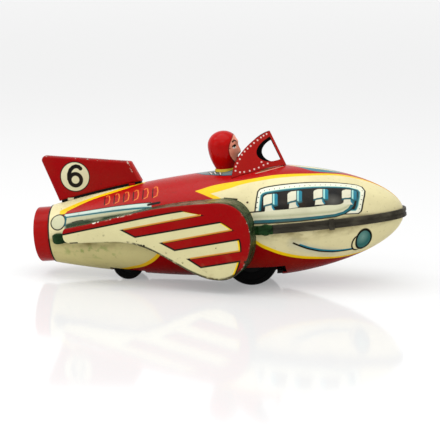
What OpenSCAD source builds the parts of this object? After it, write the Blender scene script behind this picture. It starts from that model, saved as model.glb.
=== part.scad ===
// Tin space rocket on a friction motor: two pressed shells, pan wings, a fin, a windshield and a driver.
// +X points to the nose, +Z is up, and the floor under the wheels is z = 0.
// Body places are written as (s, y, w): s along the body's axis from the tail edge, w square to it.

/* [Body] */
// Length of the shells from the tail edge to the nose tip
body_len = 172; // [160:1:190]
// Largest radius of the body
body_r = 26.4; // [24:0.2:30]
// Radius of the body at its tail edge
tail_r = 14.2; // [12.5:0.1:17]
// Distance from the tail edge to the widest section
widest_at = 111.5; // [104:0.5:120]
// Fullness of the nose, from pointed to blunt
nose_power = 1.5; // [1.3:0.05:2]
// Thickness of the tin sheet
tin = 0.6; // [0.4:0.05:0.8]
// Nose-up tilt of the body on its wheels
pitch = 5.4; // [4:0.1:7]
// Gap between the floor and the lowest point of the body
belly_gap = 1.8; // [1.2:0.1:3]
// Clearance between pieces that are fixed to each other
seat_gap = 0.1; // [0.05:0.01:0.15]

/* [Waist] */
// Width of the flange round each shell's edge
flange_w = 0.6; // [0.5:0.1:1.2]
// Height of the strips that clamp the flanges
strip_h = 4.2; // [3.4:0.1:5]
// Wall of the strips outside the flange
strip_wall = 0.6; // [0.5:0.05:1]
// Width of the groove along the strips
groove_w = 0.9; // [0.5:0.1:1.4]
// Depth of the groove along the strips
groove_d = 0.3; // [0.2:0.05:0.4]
// Distance from the tail edge to the start of the side strips
strip_from = 112.7; // [109:0.1:118]
// Distance from the tail edge to the start of the nose bumper
bumper_from = 140; // [132:0.5:148]
// Width of the clips over the strip joints
clip_w = 2.4; // [1.6:0.1:3.5]
// Thickness of the clips
clip_t = 0.5; // [0.3:0.05:0.8]
// Length of the front lug of each wing rail
lug_len = 7; // [5:0.5:8]
// How far the lugs stand out past the rail
lug_out = 0.8; // [0.4:0.1:1.4]

/* [Wings] */
// Distance from the tail edge to the rear tip of the wings
wing_rear_s = 9.5; // [6:0.5:14]
// Distance from the tail edge to the front edge of the wings
wing_front_s = 103.2; // [100:0.2:106]
// Height of the wing's crown above the waist
wing_up = 15.3; // [13:0.1:16.5]
// Depth of the wing's lobe below the waist
wing_down = 21.7; // [18:0.2:23]
// How far the front of the wing face stands out from the body
wing_front_out = 9.8; // [8.5:0.1:12]
// How far the rear of the wing face stands out from the tail
wing_rear_out = 9.5; // [8:0.1:12]
// Depth of the wing pan's rim
wing_depth = 14; // [13:0.2:15]
// Length of the tabs that hold the wings
wing_tab_len = 6; // [4:0.5:8]
// How far the tabs reach through the shell
tab_reach = 1.5; // [1:0.1:2.5]

/* [Tail] */
// How far the tail ring stands out behind the body
ring_out = 7.6; // [6:0.1:9]
// How far the tail ring reaches into the body
ring_in = 3; // [2:0.1:4.5]
// Wall of the tail ring
ring_wall = 1; // [0.8:0.05:1.4]
// Rounding of the tail ring's rim
ring_round = 0.7; // [0.3:0.05:0.75]
// Depth of the bulkhead's rim
bulkhead_rim = 3.5; // [2:0.1:5]
// Height of the fin's rear corner above the axis
fin_rear_h = 39.4; // [36:0.2:43]
// Height of the fin's front corner above the axis
fin_front_h = 33.2; // [31:0.2:36]
// Distance from the tail edge to the fin's rear corner, backwards
fin_rear_back = 3.6; // [1:0.2:5]
// Distance from the tail edge to the fin's front corner
fin_front_s = 42; // [38:0.5:48]
// Length of the fin's foot along the body
fin_foot_len = 42.4; // [38:0.2:46]
// Distance from the tail edge to the fin's foot
fin_foot_s = 4.2; // [3:0.1:6]
// Half of the fin's thickness
fin_half = 2.2; // [1.6:0.1:3]
// Gap between the fin's foot and the body
fin_lift = 0.6; // [0.3:0.05:0.9]
// Rounding of the fin's rear corner
fin_round = 3; // [1:0.2:5]
// Length of the fin's tabs
fin_tab_len = 4; // [2.5:0.1:5]

/* [Cockpit] */
// Distance from the tail edge to the middle of the driver's head
head_s = 88.1; // [85:0.1:89]
// Height of the crown of the head above the body
head_h = 19; // [17:0.2:22]
// Radius of the helmet
head_r = 7.6; // [6.8:0.1:8]
// Radius of the neck
neck_r = 4.4; // [3.8:0.1:4.8]
// Radius of the peg below the neck
peg_r = 3; // [2.4:0.1:3.2]
// Outer radius of the collar
collar_r = 5.9; // [5.4:0.1:6.5]
// Height of the collar above the body
collar_h = 1.6; // [0.8:0.1:2]
// Outer radius of the washer that holds the head
washer_r = 5.5; // [4.5:0.1:6.5]
// Thickness of the washer that holds the head
washer_t = 0.8; // [0.5:0.05:1.2]
// Distance from the tail edge to the foot of the windshield's post
shield_foot_s = 118.2; // [116:0.2:121]
// How far back the top of the post leans
shield_lean = 5.7; // [4:0.1:7]
// Height of the post's top above its foot
shield_h = 16; // [14:0.2:18]
// Distance from the tail edge to the rear corners of the windshield
shield_rear_s = 92.8; // [91:0.2:96]
// Half of the windshield's width at its rear corners
shield_half_w = 12.3; // [11:0.1:14]
// Gap between the windshield's foot and the body
shield_lift = 0.3; // [0.1:0.05:0.6]
// Length of the windshield's tabs
shield_tab_len = 4; // [3:0.1:5]

/* [Front wheels] */
// Radius of the front wheels
front_wheel_r = 13.2; // [12.4:0.1:14]
// Width of the front tyres
front_tyre_w = 5.5; // [4.8:0.1:6]
// Distance from the middle plane to the front wheels
front_wheel_in = 7.4; // [7.2:0.1:8.2]
// Radius of the front wheel discs
front_rim_r = 7; // [6:0.1:8]
// Radius of the front axle
front_axle_r = 1.25; // [1:0.05:1.5]
// Distance of the front axle ahead of the middle of the body
front_axle_x = 13.9; // [12:0.1:16]
// Half of the length of the front opening in the belly
front_well_half = 17.4; // [16:0.1:18.5]
// Half of the width of the front opening in the belly
front_well_side = 17.6; // [16:0.1:19]
// Clearance between a rear wheel and the side of its opening
well_gap = 0.6; // [0.4:0.05:1]
// Running clearance of the shafts in their bores
run_gap = 0.05; // [0.02:0.01:0.08]
// Rounding of the tyres' shoulders
tyre_round = 1.6; // [0.8:0.1:2.2]

/* [Rear wheels] */
// Radius of the rear wheels
rear_wheel_r = 7.6; // [7:0.1:8.2]
// Width of the rear tyres
rear_tyre_w = 4.6; // [4:0.1:5.4]
// Distance from the middle plane to the rear wheels
rear_wheel_in = 5.2; // [5:0.1:6]
// Radius of the rear wheel discs
rear_rim_r = 4; // [3.4:0.1:4.8]
// Radius of the rear axle
rear_axle_r = 1; // [0.8:0.05:1.2]
// Distance of the rear axle ahead of the tail edge, along the floor
rear_axle_fwd = 38.8; // [36:0.1:42]
// Half of the length of the rear opening in the belly
rear_well_half = 8.8; // [8.5:0.1:10]
// Half of the length of the rear bracket
bracket_half = 14.5; // [13:0.1:17]
// Thickness of the rear bracket's sheet
bracket_t = 0.8; // [0.6:0.05:1]
// Height of the bracket's roof above the rear axle
bracket_up = 3.5; // [2.5:0.1:5]

/* [Motor] */
// Distance from the middle plane to the motor's plates
plate_in = 5.2; // [5:0.1:5.4]
// Thickness of the motor's plates
plate_t = 0.8; // [0.6:0.05:1]
// Half of the length of the motor's plates
plate_half = 22; // [20:0.2:24]
// Module of the gear teeth
tooth_module = 0.6; // [0.55:0.01:0.65]
// Teeth on the large gears
gear_teeth = 30; // [26:1:32]
// Teeth on the pinions
pinion_teeth = 10; // [9:1:11]
// Pressure angle of the teeth
pressure_angle = 27; // [24:0.5:28]
// Play between meshing teeth
tooth_play = 0.2; // [0.12:0.01:0.3]
// Thickness of the large gears
gear_t = 1.5; // [1.2:0.1:1.6]
// Radius of the gear shafts
shaft_r = 1; // [0.8:0.05:1.1]
// Radius of the flywheel
flywheel_r = 10; // [8.5:0.1:10.4]
// Thickness of the flywheel
flywheel_t = 3.4; // [2.8:0.1:3.8]
// Radius of the plate's pillars
pillar_r = 1.4; // [1:0.1:1.6]
// Wall of the bushes round the front axle
bush_wall = 0.9; // [0.6:0.05:1.2]
// Width of the bush flanges
bush_flange = 0.8; // [0.5:0.05:1.1]

/* [Hidden] */
$fn = 96;

tin_red = "#9e1016";
bright_red = "#c01a1c";
aged_cream = "#ddd3a4";
strip_grey = "#4b463f";
worn_green = "#2f5a3a";
collar_yellow = "#e0b32a";
tyre_black = "#1c1b1b";
bare_steel = "#a9adb0";
japan_black = "#242222";
gear_brass = "#b9974f";

// Steps of the curved outlines
rear_steps = 14;
nose_steps = 14;
curve_steps = 9;
corner_steps = 5;
flank_steps = 3;
// Room past any piece, for cutting
beyond = 200;
// Straight run of the cutting bodies past the tail edge
tail_run = 12;

// The rear of the body is one arc that meets the nose curve level at the widest section.
half_len = body_len / 2;
nose_len = body_len - widest_at;
arc_r = (widest_at ^ 2 + (body_r - tail_r) ^ 2) / (2 * (body_r - tail_r));
arc_end = asin(widest_at / arc_r);
nose_root = 2 / nose_power;

function unit(v) = v / norm(v);

function body_radius(s) = s <= widest_at
    ? body_r - arc_r + sqrt(arc_r ^ 2 - (widest_at - s) ^ 2)
    : body_r * sqrt(max(0, 1 - ((s - widest_at) / nose_len) ^ nose_power));

// Points (radius, s) of the body's outline, moved out by d along its normal
function rear_point(f, d) =
    let (g = arc_end * (1 - f))
    [body_r - arc_r + (arc_r + d) * cos(g), widest_at - (arc_r + d) * sin(g)];

function nose_point(f, d) =
    let (
        g = 90 * f,
        run = nose_len * nose_root * sin(g) ^ (nose_root - 1) * cos(g),
        rise = body_r * sin(g),
        out = norm([run, rise]) > 0 ? unit([run, rise]) : [1, 0]
    )
    [body_r * cos(g), widest_at + nose_len * sin(g) ^ nose_root] + d * out;

function body_curve(d) = concat(
    [for (i = [0:rear_steps]) rear_point(i / rear_steps, d)],
    [for (i = [1:nose_steps]) nose_point(i / nose_steps, d)]
);

function tail_point(d) = rear_point(0, d) - tail_run * [sin(arc_end), cos(arc_end)];

function cubic(p, c, e, q) = [
    for (i = [0:curve_steps - 1])
        let (t = i / curve_steps, k = 1 - t)
        k ^ 3 * p + 3 * k ^ 2 * t * c + 3 * k * t ^ 2 * e + t ^ 3 * q
];

// An outline that runs anticlockwise, moved inwards by d
function inset(pts, d) = [
    for (i = [0:len(pts) - 1])
        let (
            n = len(pts),
            u = unit(pts[i] - pts[(i + n - 1) % n]),
            v = unit(pts[(i + 1) % n] - pts[i]),
            m = [-u.y, u.x] + [-v.y, v.x]
        )
        pts[i] + 2 * d * m / (m * m)
];

function round_corner(a, b, c, r) =
    let (
        u = unit(a - b),
        v = unit(c - b),
        h = acos(u * v) / 2,
        centre = b + unit(u + v) * r / sin(h),
        p = b + u * r / tan(h) - centre,
        q = b + v * r / tan(h) - centre
    )
    [for (i = [0:corner_steps]) centre + r * unit(p + (q - p) * i / corner_steps)];

// Height of the axis above the floor at mid length, and the shift that centres the toy on x = 0
axis_z = belly_gap + max([for (p = body_curve(0)) p.x * cos(pitch) - (p.y - half_len) * sin(pitch)]);
ring_r = tail_r - tin - seat_gap;
strip_t = flange_w + seat_gap + strip_wall;
front_reach = (half_len + strip_t) * cos(pitch);
ring_reach = (half_len + ring_out) * cos(pitch) + (ring_r - ring_round) * sin(pitch);
fin_reach = (half_len + fin_rear_back) * cos(pitch) + (fin_rear_h - fin_round) * sin(pitch);
mid_x = (max(ring_reach, fin_reach) - front_reach) / 2;

// Places in the floor's frame
front_x = mid_x + front_axle_x;
rear_x = mid_x - half_len + rear_axle_fwd;

// The body's own frame, tilted nose up
module in_body_frame() {
    translate([mid_x, 0, axis_z]) rotate([0, -pitch, 0]) translate([-half_len, 0, 0]) children();
}

// A shape drawn in (x, z), thick from y0 to y1
module along_y(y0, y1) {
    translate([0, y1, 0]) rotate([90, 0, 0]) linear_extrude(y1 - y0) children();
}

module rod(r, y0, y1) {
    translate([0, y0, 0]) rotate([-90, 0, 0]) cylinder(r = r, h = y1 - y0);
}

module left_from_right() {
    mirror([0, 1, 0]) children();
}

// Solid of the body moved out by d, for cutting and for bands
module body_solid(d) {
    outline = concat([[0, tail_point(d).y], tail_point(d)], body_curve(d));
    rotate([0, 90, 0]) rotate_extrude() polygon(outline);
}

// Upper half starts at 90 degrees, lower half at 270
module half_shell(start) {
    outer = body_curve(0);
    inner = body_curve(-tin);
    edge = [inner[0].x, 0];
    back = [for (i = [len(inner) - 1:-1:0]) inner[i]];
    rotate([0, 90, 0]) rotate_extrude(angle = 180, start = start) polygon(concat(outer, back, [edge]));
}

// Part of a layer round the body, between the heights w0 and w1 and the sides y0 and y1
module body_band(d_in, d_out, s0, s1, y0, y1, w0, w1) {
    intersection() {
        difference() {
            body_solid(d_out);
            body_solid(d_in);
        }
        translate([s0, y0, w0]) cube([s1 - s0, y1 - y0, w1 - w0]);
    }
}

module shell_flange(w0) {
    body_band(-tin / 2, flange_w, 0, body_len + beyond, -beyond, beyond, w0, w0 + tin);
}

// Strips and rails: a channel that clamps both flanges
module clamp_channel(s0, s1, y0, y1, grooved) {
    difference() {
        body_band(seat_gap, strip_t, s0, s1, y0, y1, -strip_h / 2, strip_h / 2);
        translate([0, 0, -tin - seat_gap])
            intersection() {
                translate([0, 0, tin + seat_gap]) body_solid(flange_w + seat_gap);
                translate([-beyond, -beyond, 0]) cube([3 * beyond, 2 * beyond, 2 * (tin + seat_gap)]);
            }
        if (grooved)
            body_band(
                strip_t - groove_d, strip_t + 1, s0 - 1, s1 + 1, y0 - 1, y1 + 1, -groove_w / 2, groove_w / 2
            );
    }
}

// Wing outline in (s, w), anticlockwise from the rear tip
wing_lobe_s = wing_front_s - 16.2;
wing_crown_s = wing_front_s - 15.2;
wing_waist_s = wing_rear_s + 25;
wing_sill = 1.5;
wing_tip = 0.38 * wing_up;
wing_outline = concat(
    [[wing_rear_s, 0], [wing_rear_s + 1, -wing_sill]],
    cubic(
        [wing_waist_s, -wing_sill], [wing_waist_s + 23, -wing_sill - 0.5],
        [wing_lobe_s - 17, -wing_down], [wing_lobe_s, -wing_down]
    ),
    cubic(
        [wing_lobe_s, -wing_down], [wing_lobe_s + 10.5, -wing_down],
        [wing_front_s, -10], [wing_front_s, -1]
    ),
    cubic(
        [wing_front_s, -1], [wing_front_s, 0.56 * wing_up],
        [wing_crown_s + 10, wing_up], [wing_crown_s, wing_up]
    ),
    cubic(
        [wing_crown_s, wing_up], [wing_crown_s - 38, wing_up],
        [wing_rear_s + 36, 0.69 * wing_up], [wing_rear_s, wing_tip]
    ),
    [[wing_rear_s, wing_tip]]
);
wing_front_y = body_r + wing_front_out;
wing_rear_y = tail_r + wing_rear_out;
wing_toe = atan2(wing_front_y - wing_rear_y, wing_front_s - wing_rear_s);
wing_tabs = [wing_front_s - 40, wing_front_s - 12];

// The right wing's own plane, toed in towards the tail
module in_wing_plane() {
    translate([wing_front_s, -wing_front_y, 0]) rotate([0, 0, -wing_toe]) translate([-wing_front_s, 0, 0])
        children();
}

module wing_rim(grow) {
    in_wing_plane() along_y(0, wing_depth)
        difference() {
            polygon(inset(wing_outline, -grow));
            polygon(inset(wing_outline, tin + grow));
        }
}

// The stretch of the wing's upper rim that holds each tab
module wing_tab_slabs(grow) {
    for (s = wing_tabs)
        translate([s - wing_tab_len / 2 - grow, -beyond, 0])
            cube([wing_tab_len + 2 * grow, beyond, beyond]);
}

module wing_tab_slots() {
    intersection() {
        wing_rim(seat_gap);
        wing_tab_slabs(seat_gap);
    }
}

module right_wing_pan() {
    difference() {
        union() {
            in_wing_plane() along_y(0, tin) polygon(inset(wing_outline, tin / 2));
            wing_rim(0);
        }
        body_solid(seat_gap);
        body_band(
            -tin, strip_t + lug_out + seat_gap, -tail_run, body_len, -beyond, 0,
            -strip_h / 2 - seat_gap, strip_h / 2 + seat_gap
        );
    }
    difference() {
        intersection() {
            wing_rim(0);
            wing_tab_slabs(0);
        }
        body_solid(-tin - tab_reach);
    }
}

// Green rail behind the right wing, with a lug at each end
module right_rail() {
    lug_r = strip_h / 2 + lug_out / 2;
    clamp_channel(0, strip_from - seat_gap, -beyond, 0, false);
    difference() {
        body_band(
            strip_t - strip_wall / 2, strip_t + lug_out,
            strip_from - lug_len, strip_from - seat_gap, -beyond, 0, -strip_h / 2, strip_h / 2
        );
        body_band(
            strip_t + lug_out - groove_d, strip_t + lug_out + 1,
            strip_from - lug_len - 1, strip_from, -beyond, 0, -groove_w / 2, groove_w / 2
        );
    }
    difference() {
        translate([lug_r, -body_radius(lug_r) - strip_t + lug_r, 0]) sphere(r = lug_r + lug_out);
        body_solid(strip_t - strip_wall / 2);
        translate([-beyond, -beyond, strip_h / 2]) cube(2 * beyond);
        translate([-beyond, -beyond, -strip_h / 2 - 2 * beyond]) cube(2 * beyond);
        translate([-2 * beyond, -beyond, -beyond]) cube(2 * beyond);
    }
}

// Fin outline in (s, w), anticlockwise, with its foot run down into the body for trimming
fin_foot_front = fin_foot_s + fin_foot_len;
fin_rear_corner = [-fin_rear_back, fin_rear_h];
fin_front_corner = [fin_front_s, fin_front_h];
fin_rear_foot = [fin_foot_s, body_radius(fin_foot_s)];
fin_front_foot = [fin_foot_front, body_radius(fin_foot_front) + fin_lift];
fin_outline = concat(
    [fin_rear_foot, [fin_rear_foot.x + 1, tail_r / 2], [fin_front_foot.x - 1, tail_r / 2], fin_front_foot],
    [fin_front_corner],
    round_corner(fin_front_corner, fin_rear_corner, fin_rear_foot, fin_round)
);
fin_tabs = [fin_foot_s + 6, fin_foot_front - 5];

module fin_tab_slabs(grow) {
    for (s = fin_tabs)
        translate([s - fin_tab_len / 2 - grow, -fin_half - grow, 0])
            cube([fin_tab_len + 2 * grow, tin + 2 * grow, body_radius(s) + fin_lift + tin]);
}

module fin_right_pan() {
    difference() {
        along_y(-fin_half, -seat_gap / 2) polygon(fin_outline);
        along_y(-fin_half + tin, 1) polygon(inset(fin_outline, tin));
        body_solid(fin_lift);
    }
    difference() {
        fin_tab_slabs(0);
        body_solid(-tin - tab_reach);
    }
}

// The windshield's right panel: b runs back from the post, u runs up along the post
shield_foot = [shield_foot_s, 0, body_radius(shield_foot_s) + shield_lift];
shield_top = shield_foot + [-shield_lean, 0, shield_h];
shield_post = norm(shield_top - shield_foot);
shield_rear = [shield_rear_s, -shield_half_w, sqrt(body_radius(shield_rear_s) ^ 2 - shield_half_w ^ 2)];
shield_u = unit(shield_top - shield_foot);
shield_n = unit(cross(shield_u, shield_rear - shield_foot));
shield_b = cross(shield_n, shield_u);
shield_back = (shield_rear - shield_foot) * shield_b;
shield_sill = (shield_rear - shield_foot) * shield_u;
shield_rib = 1.5;
shield_brow = 3;
shield_hole_back = 0.4 * shield_back;
shield_drop = 8;
shield_outline = concat(
    cubic(
        [0, shield_post], [0.3 * shield_back, shield_post + 4.2],
        [0.7 * shield_back, shield_post - 0.2], [shield_back, shield_sill]
    ),
    [[shield_back, shield_sill], [shield_back - 2, shield_sill - shield_drop], [0, -shield_drop]]
);
shield_hole = concat(
    cubic(
        [shield_rib, shield_post - shield_brow], [shield_rib + 4.5, shield_post - shield_brow + 2.2],
        [shield_hole_back + 1.4, shield_post - 2], [shield_hole_back, 0.57 * shield_post]
    ),
    cubic(
        [shield_hole_back, 0.57 * shield_post], [shield_hole_back - 0.8, 0.4 * shield_post],
        [shield_rib + 4.5, 4], [shield_rib, 2.6]
    ),
    [[shield_rib, 2.6]]
);
shield_tabs = [0.25 * shield_back, 0.75 * shield_back];

module in_shield_plane() {
    multmatrix([
        for (i = [0:3])
            i < 3 ? [shield_b[i], shield_u[i], -shield_n[i], shield_foot[i]] : [0, 0, 0, 1]
    ])
        children();
}

module shield_tab_slabs(grow) {
    in_shield_plane()
        for (b = shield_tabs)
            translate([b - shield_tab_len / 2 - grow, -shield_drop, -grow])
                cube([
                    shield_tab_len + 2 * grow, shield_drop + shield_sill * b / shield_back + tin, tin + 2 * grow
                ]);
}

module shield_right_panel() {
    intersection() {
        union() {
            difference() {
                in_shield_plane() linear_extrude(tin)
                    difference() {
                        polygon(shield_outline);
                        polygon(shield_hole);
                    }
                body_solid(shield_lift);
            }
            difference() {
                shield_tab_slabs(0);
                body_solid(-tin - tab_reach);
            }
        }
        translate([0, -beyond, 0]) cube([2 * beyond, beyond, beyond]);
    }
}

// The driver: a revolved head on a neck, with a peg through the shell
head_top = body_radius(head_s) + head_h;
head_wide = head_top - head_r + 0.6;
neck_w = body_radius(head_s) + collar_h + seat_gap;
peg_end = body_radius(head_s) - tin - 4;
head_outline = concat(
    [[0, peg_end], [peg_r, peg_end], [peg_r, neck_w], [neck_r, neck_w]],
    cubic(
        [neck_r, neck_w + 0.2], [neck_r + 2.2, neck_w + 0.33 * (head_wide - neck_w)],
        [head_r, neck_w + 0.66 * (head_wide - neck_w)], [head_r, head_wide]
    ),
    [for (i = [0:curve_steps])
        [head_r * cos(90 * i / curve_steps), head_wide + (head_top - head_wide) * sin(90 * i / curve_steps)]]
);
washer_top = sqrt((body_radius(head_s) - tin) ^ 2 - washer_r ^ 2) - seat_gap;

module at_head() {
    translate([head_s, 0, 0]) children();
}

// Wheels: tyre and disc turn on the y axis, with their inner face at y_in
module tyre(rim_r, out_r, y_in, width) {
    shoulder = [
        for (i = [0:corner_steps])
            let (g = 90 * i / corner_steps)
            [out_r - tyre_round + tyre_round * cos(g), width - tyre_round + tyre_round * sin(g)]
    ];
    foot = [
        for (i = [corner_steps:-1:0])
            let (g = 90 * i / corner_steps)
            [out_r - tyre_round + tyre_round * cos(g), tyre_round - tyre_round * sin(g)]
    ];
    bead = rim_r + seat_gap;
    translate([0, y_in, 0]) rotate([-90, 0, 0])
        rotate_extrude() polygon(concat([[bead, 0]], foot, shoulder, [[bead, width]]));
}

// A pressed disc with a boss that reaches in to boss_in
module wheel_disc(rim_r, axle_r, y_in, width, boss_in) {
    boss_r = axle_r + bush_wall;
    difference() {
        union() {
            rod(rim_r, y_in, y_in + width - tin);
            rod(boss_r, boss_in, y_in + 1);
        }
        rod(axle_r + run_gap, boss_in - 1, y_in + width - 2 * tin);
        difference() {
            rod(rim_r - 2 * tin, y_in - 1, y_in + width - 2 * tin);
            rod(boss_r, y_in - 2, y_in + width);
        }
    }
}

// Motor shafts, as (x, z) from the front axle
mesh_dist = tooth_module * (gear_teeth + pinion_teeth) / 2;
cluster_angle = 125;
flywheel_angle = 55;
cluster_at = mesh_dist * [cos(cluster_angle), sin(cluster_angle)];
flywheel_at = cluster_at + mesh_dist * [cos(flywheel_angle), sin(flywheel_angle)];
gear_r = tooth_module * (gear_teeth / 2 + 1);
pillar_clear = gear_r + pillar_r + 2;
pillars = [
    [front_well_half - 0.5, -3], [-front_well_half + 0.5, -3],
    flywheel_at + (flywheel_r + pillar_r + 2) * [cos(-15), sin(-15)],
    cluster_at + pillar_clear * [cos(175), sin(175)]
];
plate_top = flywheel_at.y + 4;
drive_y = plate_in - 1.2 - gear_t;
upper_y = drive_y - 1 - gear_t;
flywheel_y = upper_y - 0.8 - flywheel_t;

function involute(a) = tan(a) * 180 / PI - a;

// Tooth outline of a spur gear, with a tooth centred on +X
function gear_outline(teeth) =
    let (
        pitch_r = tooth_module * teeth / 2,
        base_r = pitch_r * cos(pressure_angle),
        tip_r = pitch_r + 0.85 * tooth_module,
        root_r = pitch_r - 1.15 * tooth_module,
        half = 90 / teeth - tooth_play / 4 / pitch_r * 180 / PI,
        start_r = max(base_r, root_r),
        flank = [
            for (i = [0:flank_steps])
                let (r = start_r + (tip_r - start_r) * i / flank_steps)
                [r, half + involute(pressure_angle) - involute(acos(base_r / r))]
        ],
        side = concat([[root_r, flank[0].y]], flank),
        n = len(side)
    )
    [
        for (k = [0:teeth - 1], j = [0:2 * n - 1])
            let (p = j < n ? side[j] : side[2 * n - 1 - j], a = k * 360 / teeth + (j < n ? -p.y : p.y))
            p.x * [cos(a), sin(a)]
    ];

module at_xz(p) {
    translate([front_x + p.x, 0, front_wheel_r + p.y]) children();
}

module gear(teeth, turn, y0, y1, bore_r) {
    difference() {
        along_y(y0, y1) rotate(turn) polygon(gear_outline(teeth));
        rod(bore_r, y0 - 1, y1 + 1);
    }
}

bush_r = front_axle_r + run_gap + bush_wall;
plate_out = plate_in + plate_t + seat_gap;

module motor_plate() {
    outline = [
        [-plate_half, -front_wheel_r], [-plate_half, pillars[3].y + 3], [flywheel_at.x - 6, plate_top],
        [flywheel_at.x + 5, plate_top], [pillars[2].x + 3, pillars[2].y + 3], [plate_half, 2],
        [plate_half, -front_wheel_r]
    ];
    span = front_well_half - 2.5;
    difference() {
        intersection() {
            at_xz([0, 0]) along_y(-plate_in - plate_t, -plate_in)
                difference() {
                    polygon(outline);
                    translate([-span, -2 * front_wheel_r]) square([2 * span, 2 * front_wheel_r - 5]);
                }
            in_body_frame() body_solid(-tin - seat_gap);
        }
        at_xz([0, 0]) rod(bush_r + run_gap, -beyond, 0);
        for (p = [cluster_at, flywheel_at])
            at_xz(p) rod(shaft_r + run_gap, -beyond, 0);
    }
}

module right_bush() {
    at_xz([0, 0]) difference() {
        union() {
            rod(bush_r, -plate_out, -plate_in + 0.4);
            rod(bush_r + bush_flange, -plate_out - bush_flange, -plate_out);
        }
        rod(front_axle_r + run_gap, -beyond, 0);
    }
}

front_boss_in = plate_out + seat_gap + bush_flange;
rear_ear_out = rear_wheel_in - 1.2;
rear_boss_in = rear_ear_out + 2 * seat_gap;
// How far the cuts for the wheels run up past the axles, minus the run below the floor
well_rise = 4;
front_wheel_out = front_wheel_in + front_tyre_w;
rear_wheel_out = rear_wheel_in + rear_tyre_w;

module wheel_wells() {
    translate([front_x - front_well_half, -front_well_side, -1])
        cube([2 * front_well_half, 2 * front_well_side, front_wheel_r + well_rise]);
    translate([rear_x - rear_well_half, -rear_wheel_out - well_gap, -1])
        cube([2 * rear_well_half, 2 * (rear_wheel_out + well_gap), rear_wheel_r + well_rise]);
}

module upper_shell() {
    color(tin_red) in_body_frame() difference() {
        union() {
            half_shell(90);
            shell_flange(0);
        }
        at_head() translate([0, 0, body_radius(head_s) / 2]) cylinder(r = peg_r + seat_gap, h = body_r);
        fin_tab_slabs(seat_gap);
        left_from_right() fin_tab_slabs(seat_gap);
        shield_tab_slabs(seat_gap);
        left_from_right() shield_tab_slabs(seat_gap);
        wing_tab_slots();
        left_from_right() wing_tab_slots();
    }
}

module lower_shell() {
    color(tin_red) difference() {
        in_body_frame() {
            half_shell(270);
            shell_flange(-tin);
        }
        wheel_wells();
    }
}

module nose_bumper() {
    color(strip_grey) in_body_frame()
        clamp_channel(bumper_from, body_len + beyond, -beyond, beyond, true);
}

module right_waist_strip() {
    color(strip_grey) in_body_frame()
        clamp_channel(strip_from, bumper_from - seat_gap, -beyond, 0, true);
}

module left_waist_strip() {
    color(strip_grey) in_body_frame()
        clamp_channel(strip_from, bumper_from - seat_gap, 0, beyond, true);
}

module strip_clips() {
    s0 = bumper_from - clip_w / 2;
    lap = strip_h / 2 + clip_t;
    color(strip_grey) in_body_frame()
        for (y0 = [-beyond, 0])
            body_band(
                strip_t + seat_gap, strip_t + seat_gap + clip_t, s0, s0 + clip_w, y0, y0 + beyond, -lap, lap
            );
}

module right_wing_rail() { color(worn_green) in_body_frame() right_rail(); }

module left_wing_rail() { color(worn_green) in_body_frame() left_from_right() right_rail(); }

module right_wing() { color(aged_cream) in_body_frame() right_wing_pan(); }

module left_wing() { color(aged_cream) in_body_frame() left_from_right() right_wing_pan(); }

module tail_ring() {
    rim = [
        for (i = [0:corner_steps])
            let (g = 90 * i / corner_steps)
            [ring_r - ring_round + ring_round * sin(g), -ring_out + ring_round - ring_round * cos(g)]
    ];
    bore_r = ring_r - ring_wall;
    color(bright_red) in_body_frame() rotate([0, 90, 0])
        rotate_extrude() polygon(concat([[bore_r, -ring_out]], rim, [[ring_r, ring_in], [bore_r, ring_in]]));
}

module tail_bulkhead() {
    color(tin_red) in_body_frame() translate([ring_in, 0, 0]) rotate([0, 90, 0]) difference() {
        cylinder(r = ring_r, h = bulkhead_rim);
        translate([0, 0, tin]) cylinder(r = ring_r - tin, h = bulkhead_rim);
    }
}

module fin_right_skin() { color(tin_red) in_body_frame() fin_right_pan(); }

module fin_left_skin() { color(tin_red) in_body_frame() left_from_right() fin_right_pan(); }

module windshield() {
    color(tin_red) in_body_frame() {
        shield_right_panel();
        left_from_right() shield_right_panel();
    }
}

module driver_head() {
    color(bright_red) in_body_frame() at_head() rotate_extrude() polygon(head_outline);
}

module driver_collar() {
    sunk = body_radius(head_s) - sqrt(body_radius(head_s) ^ 2 - collar_r ^ 2) + 1;
    color(collar_yellow) in_body_frame() difference() {
        at_head() translate([0, 0, body_radius(head_s) - sunk]) difference() {
            cylinder(r = collar_r, h = sunk + collar_h);
            translate([0, 0, -1]) cylinder(r = peg_r + seat_gap, h = beyond);
        }
        body_solid(seat_gap);
    }
}

module head_washer() {
    color(bare_steel) in_body_frame() at_head() translate([0, 0, washer_top - washer_t]) difference() {
        cylinder(r = washer_r, h = washer_t);
        translate([0, 0, -1]) cylinder(r = peg_r + run_gap, h = washer_t + 2);
    }
}

module motor_right_plate() { color(japan_black) motor_plate(); }

module motor_left_plate() { color(japan_black) left_from_right() motor_plate(); }

module motor_pillars() {
    color(bare_steel)
        for (p = pillars)
            at_xz(p) rod(pillar_r, -plate_in, plate_in);
}

module axle_bushes() {
    color(gear_brass) {
        right_bush();
        left_from_right() right_bush();
    }
}

module rear_axle_bracket() {
    roof_z = rear_wheel_r + bracket_up;
    ear_in = rear_ear_out - bracket_t;
    color(japan_black) difference() {
        intersection() {
            translate([rear_x - bracket_half, -rear_ear_out, 0])
                cube([2 * bracket_half, 2 * rear_ear_out, roof_z]);
            in_body_frame() body_solid(-tin - seat_gap);
        }
        translate([rear_x - beyond, -ear_in, -1]) cube([2 * beyond, 2 * ear_in, roof_z + 1 - bracket_t]);
        translate([rear_x - rear_well_half, -beyond, -1])
            cube([2 * rear_well_half, 2 * beyond, rear_wheel_r - rear_axle_r - 1]);
        translate([rear_x, 0, rear_wheel_r]) rod(rear_axle_r + run_gap, -beyond, beyond);
    }
}

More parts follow.
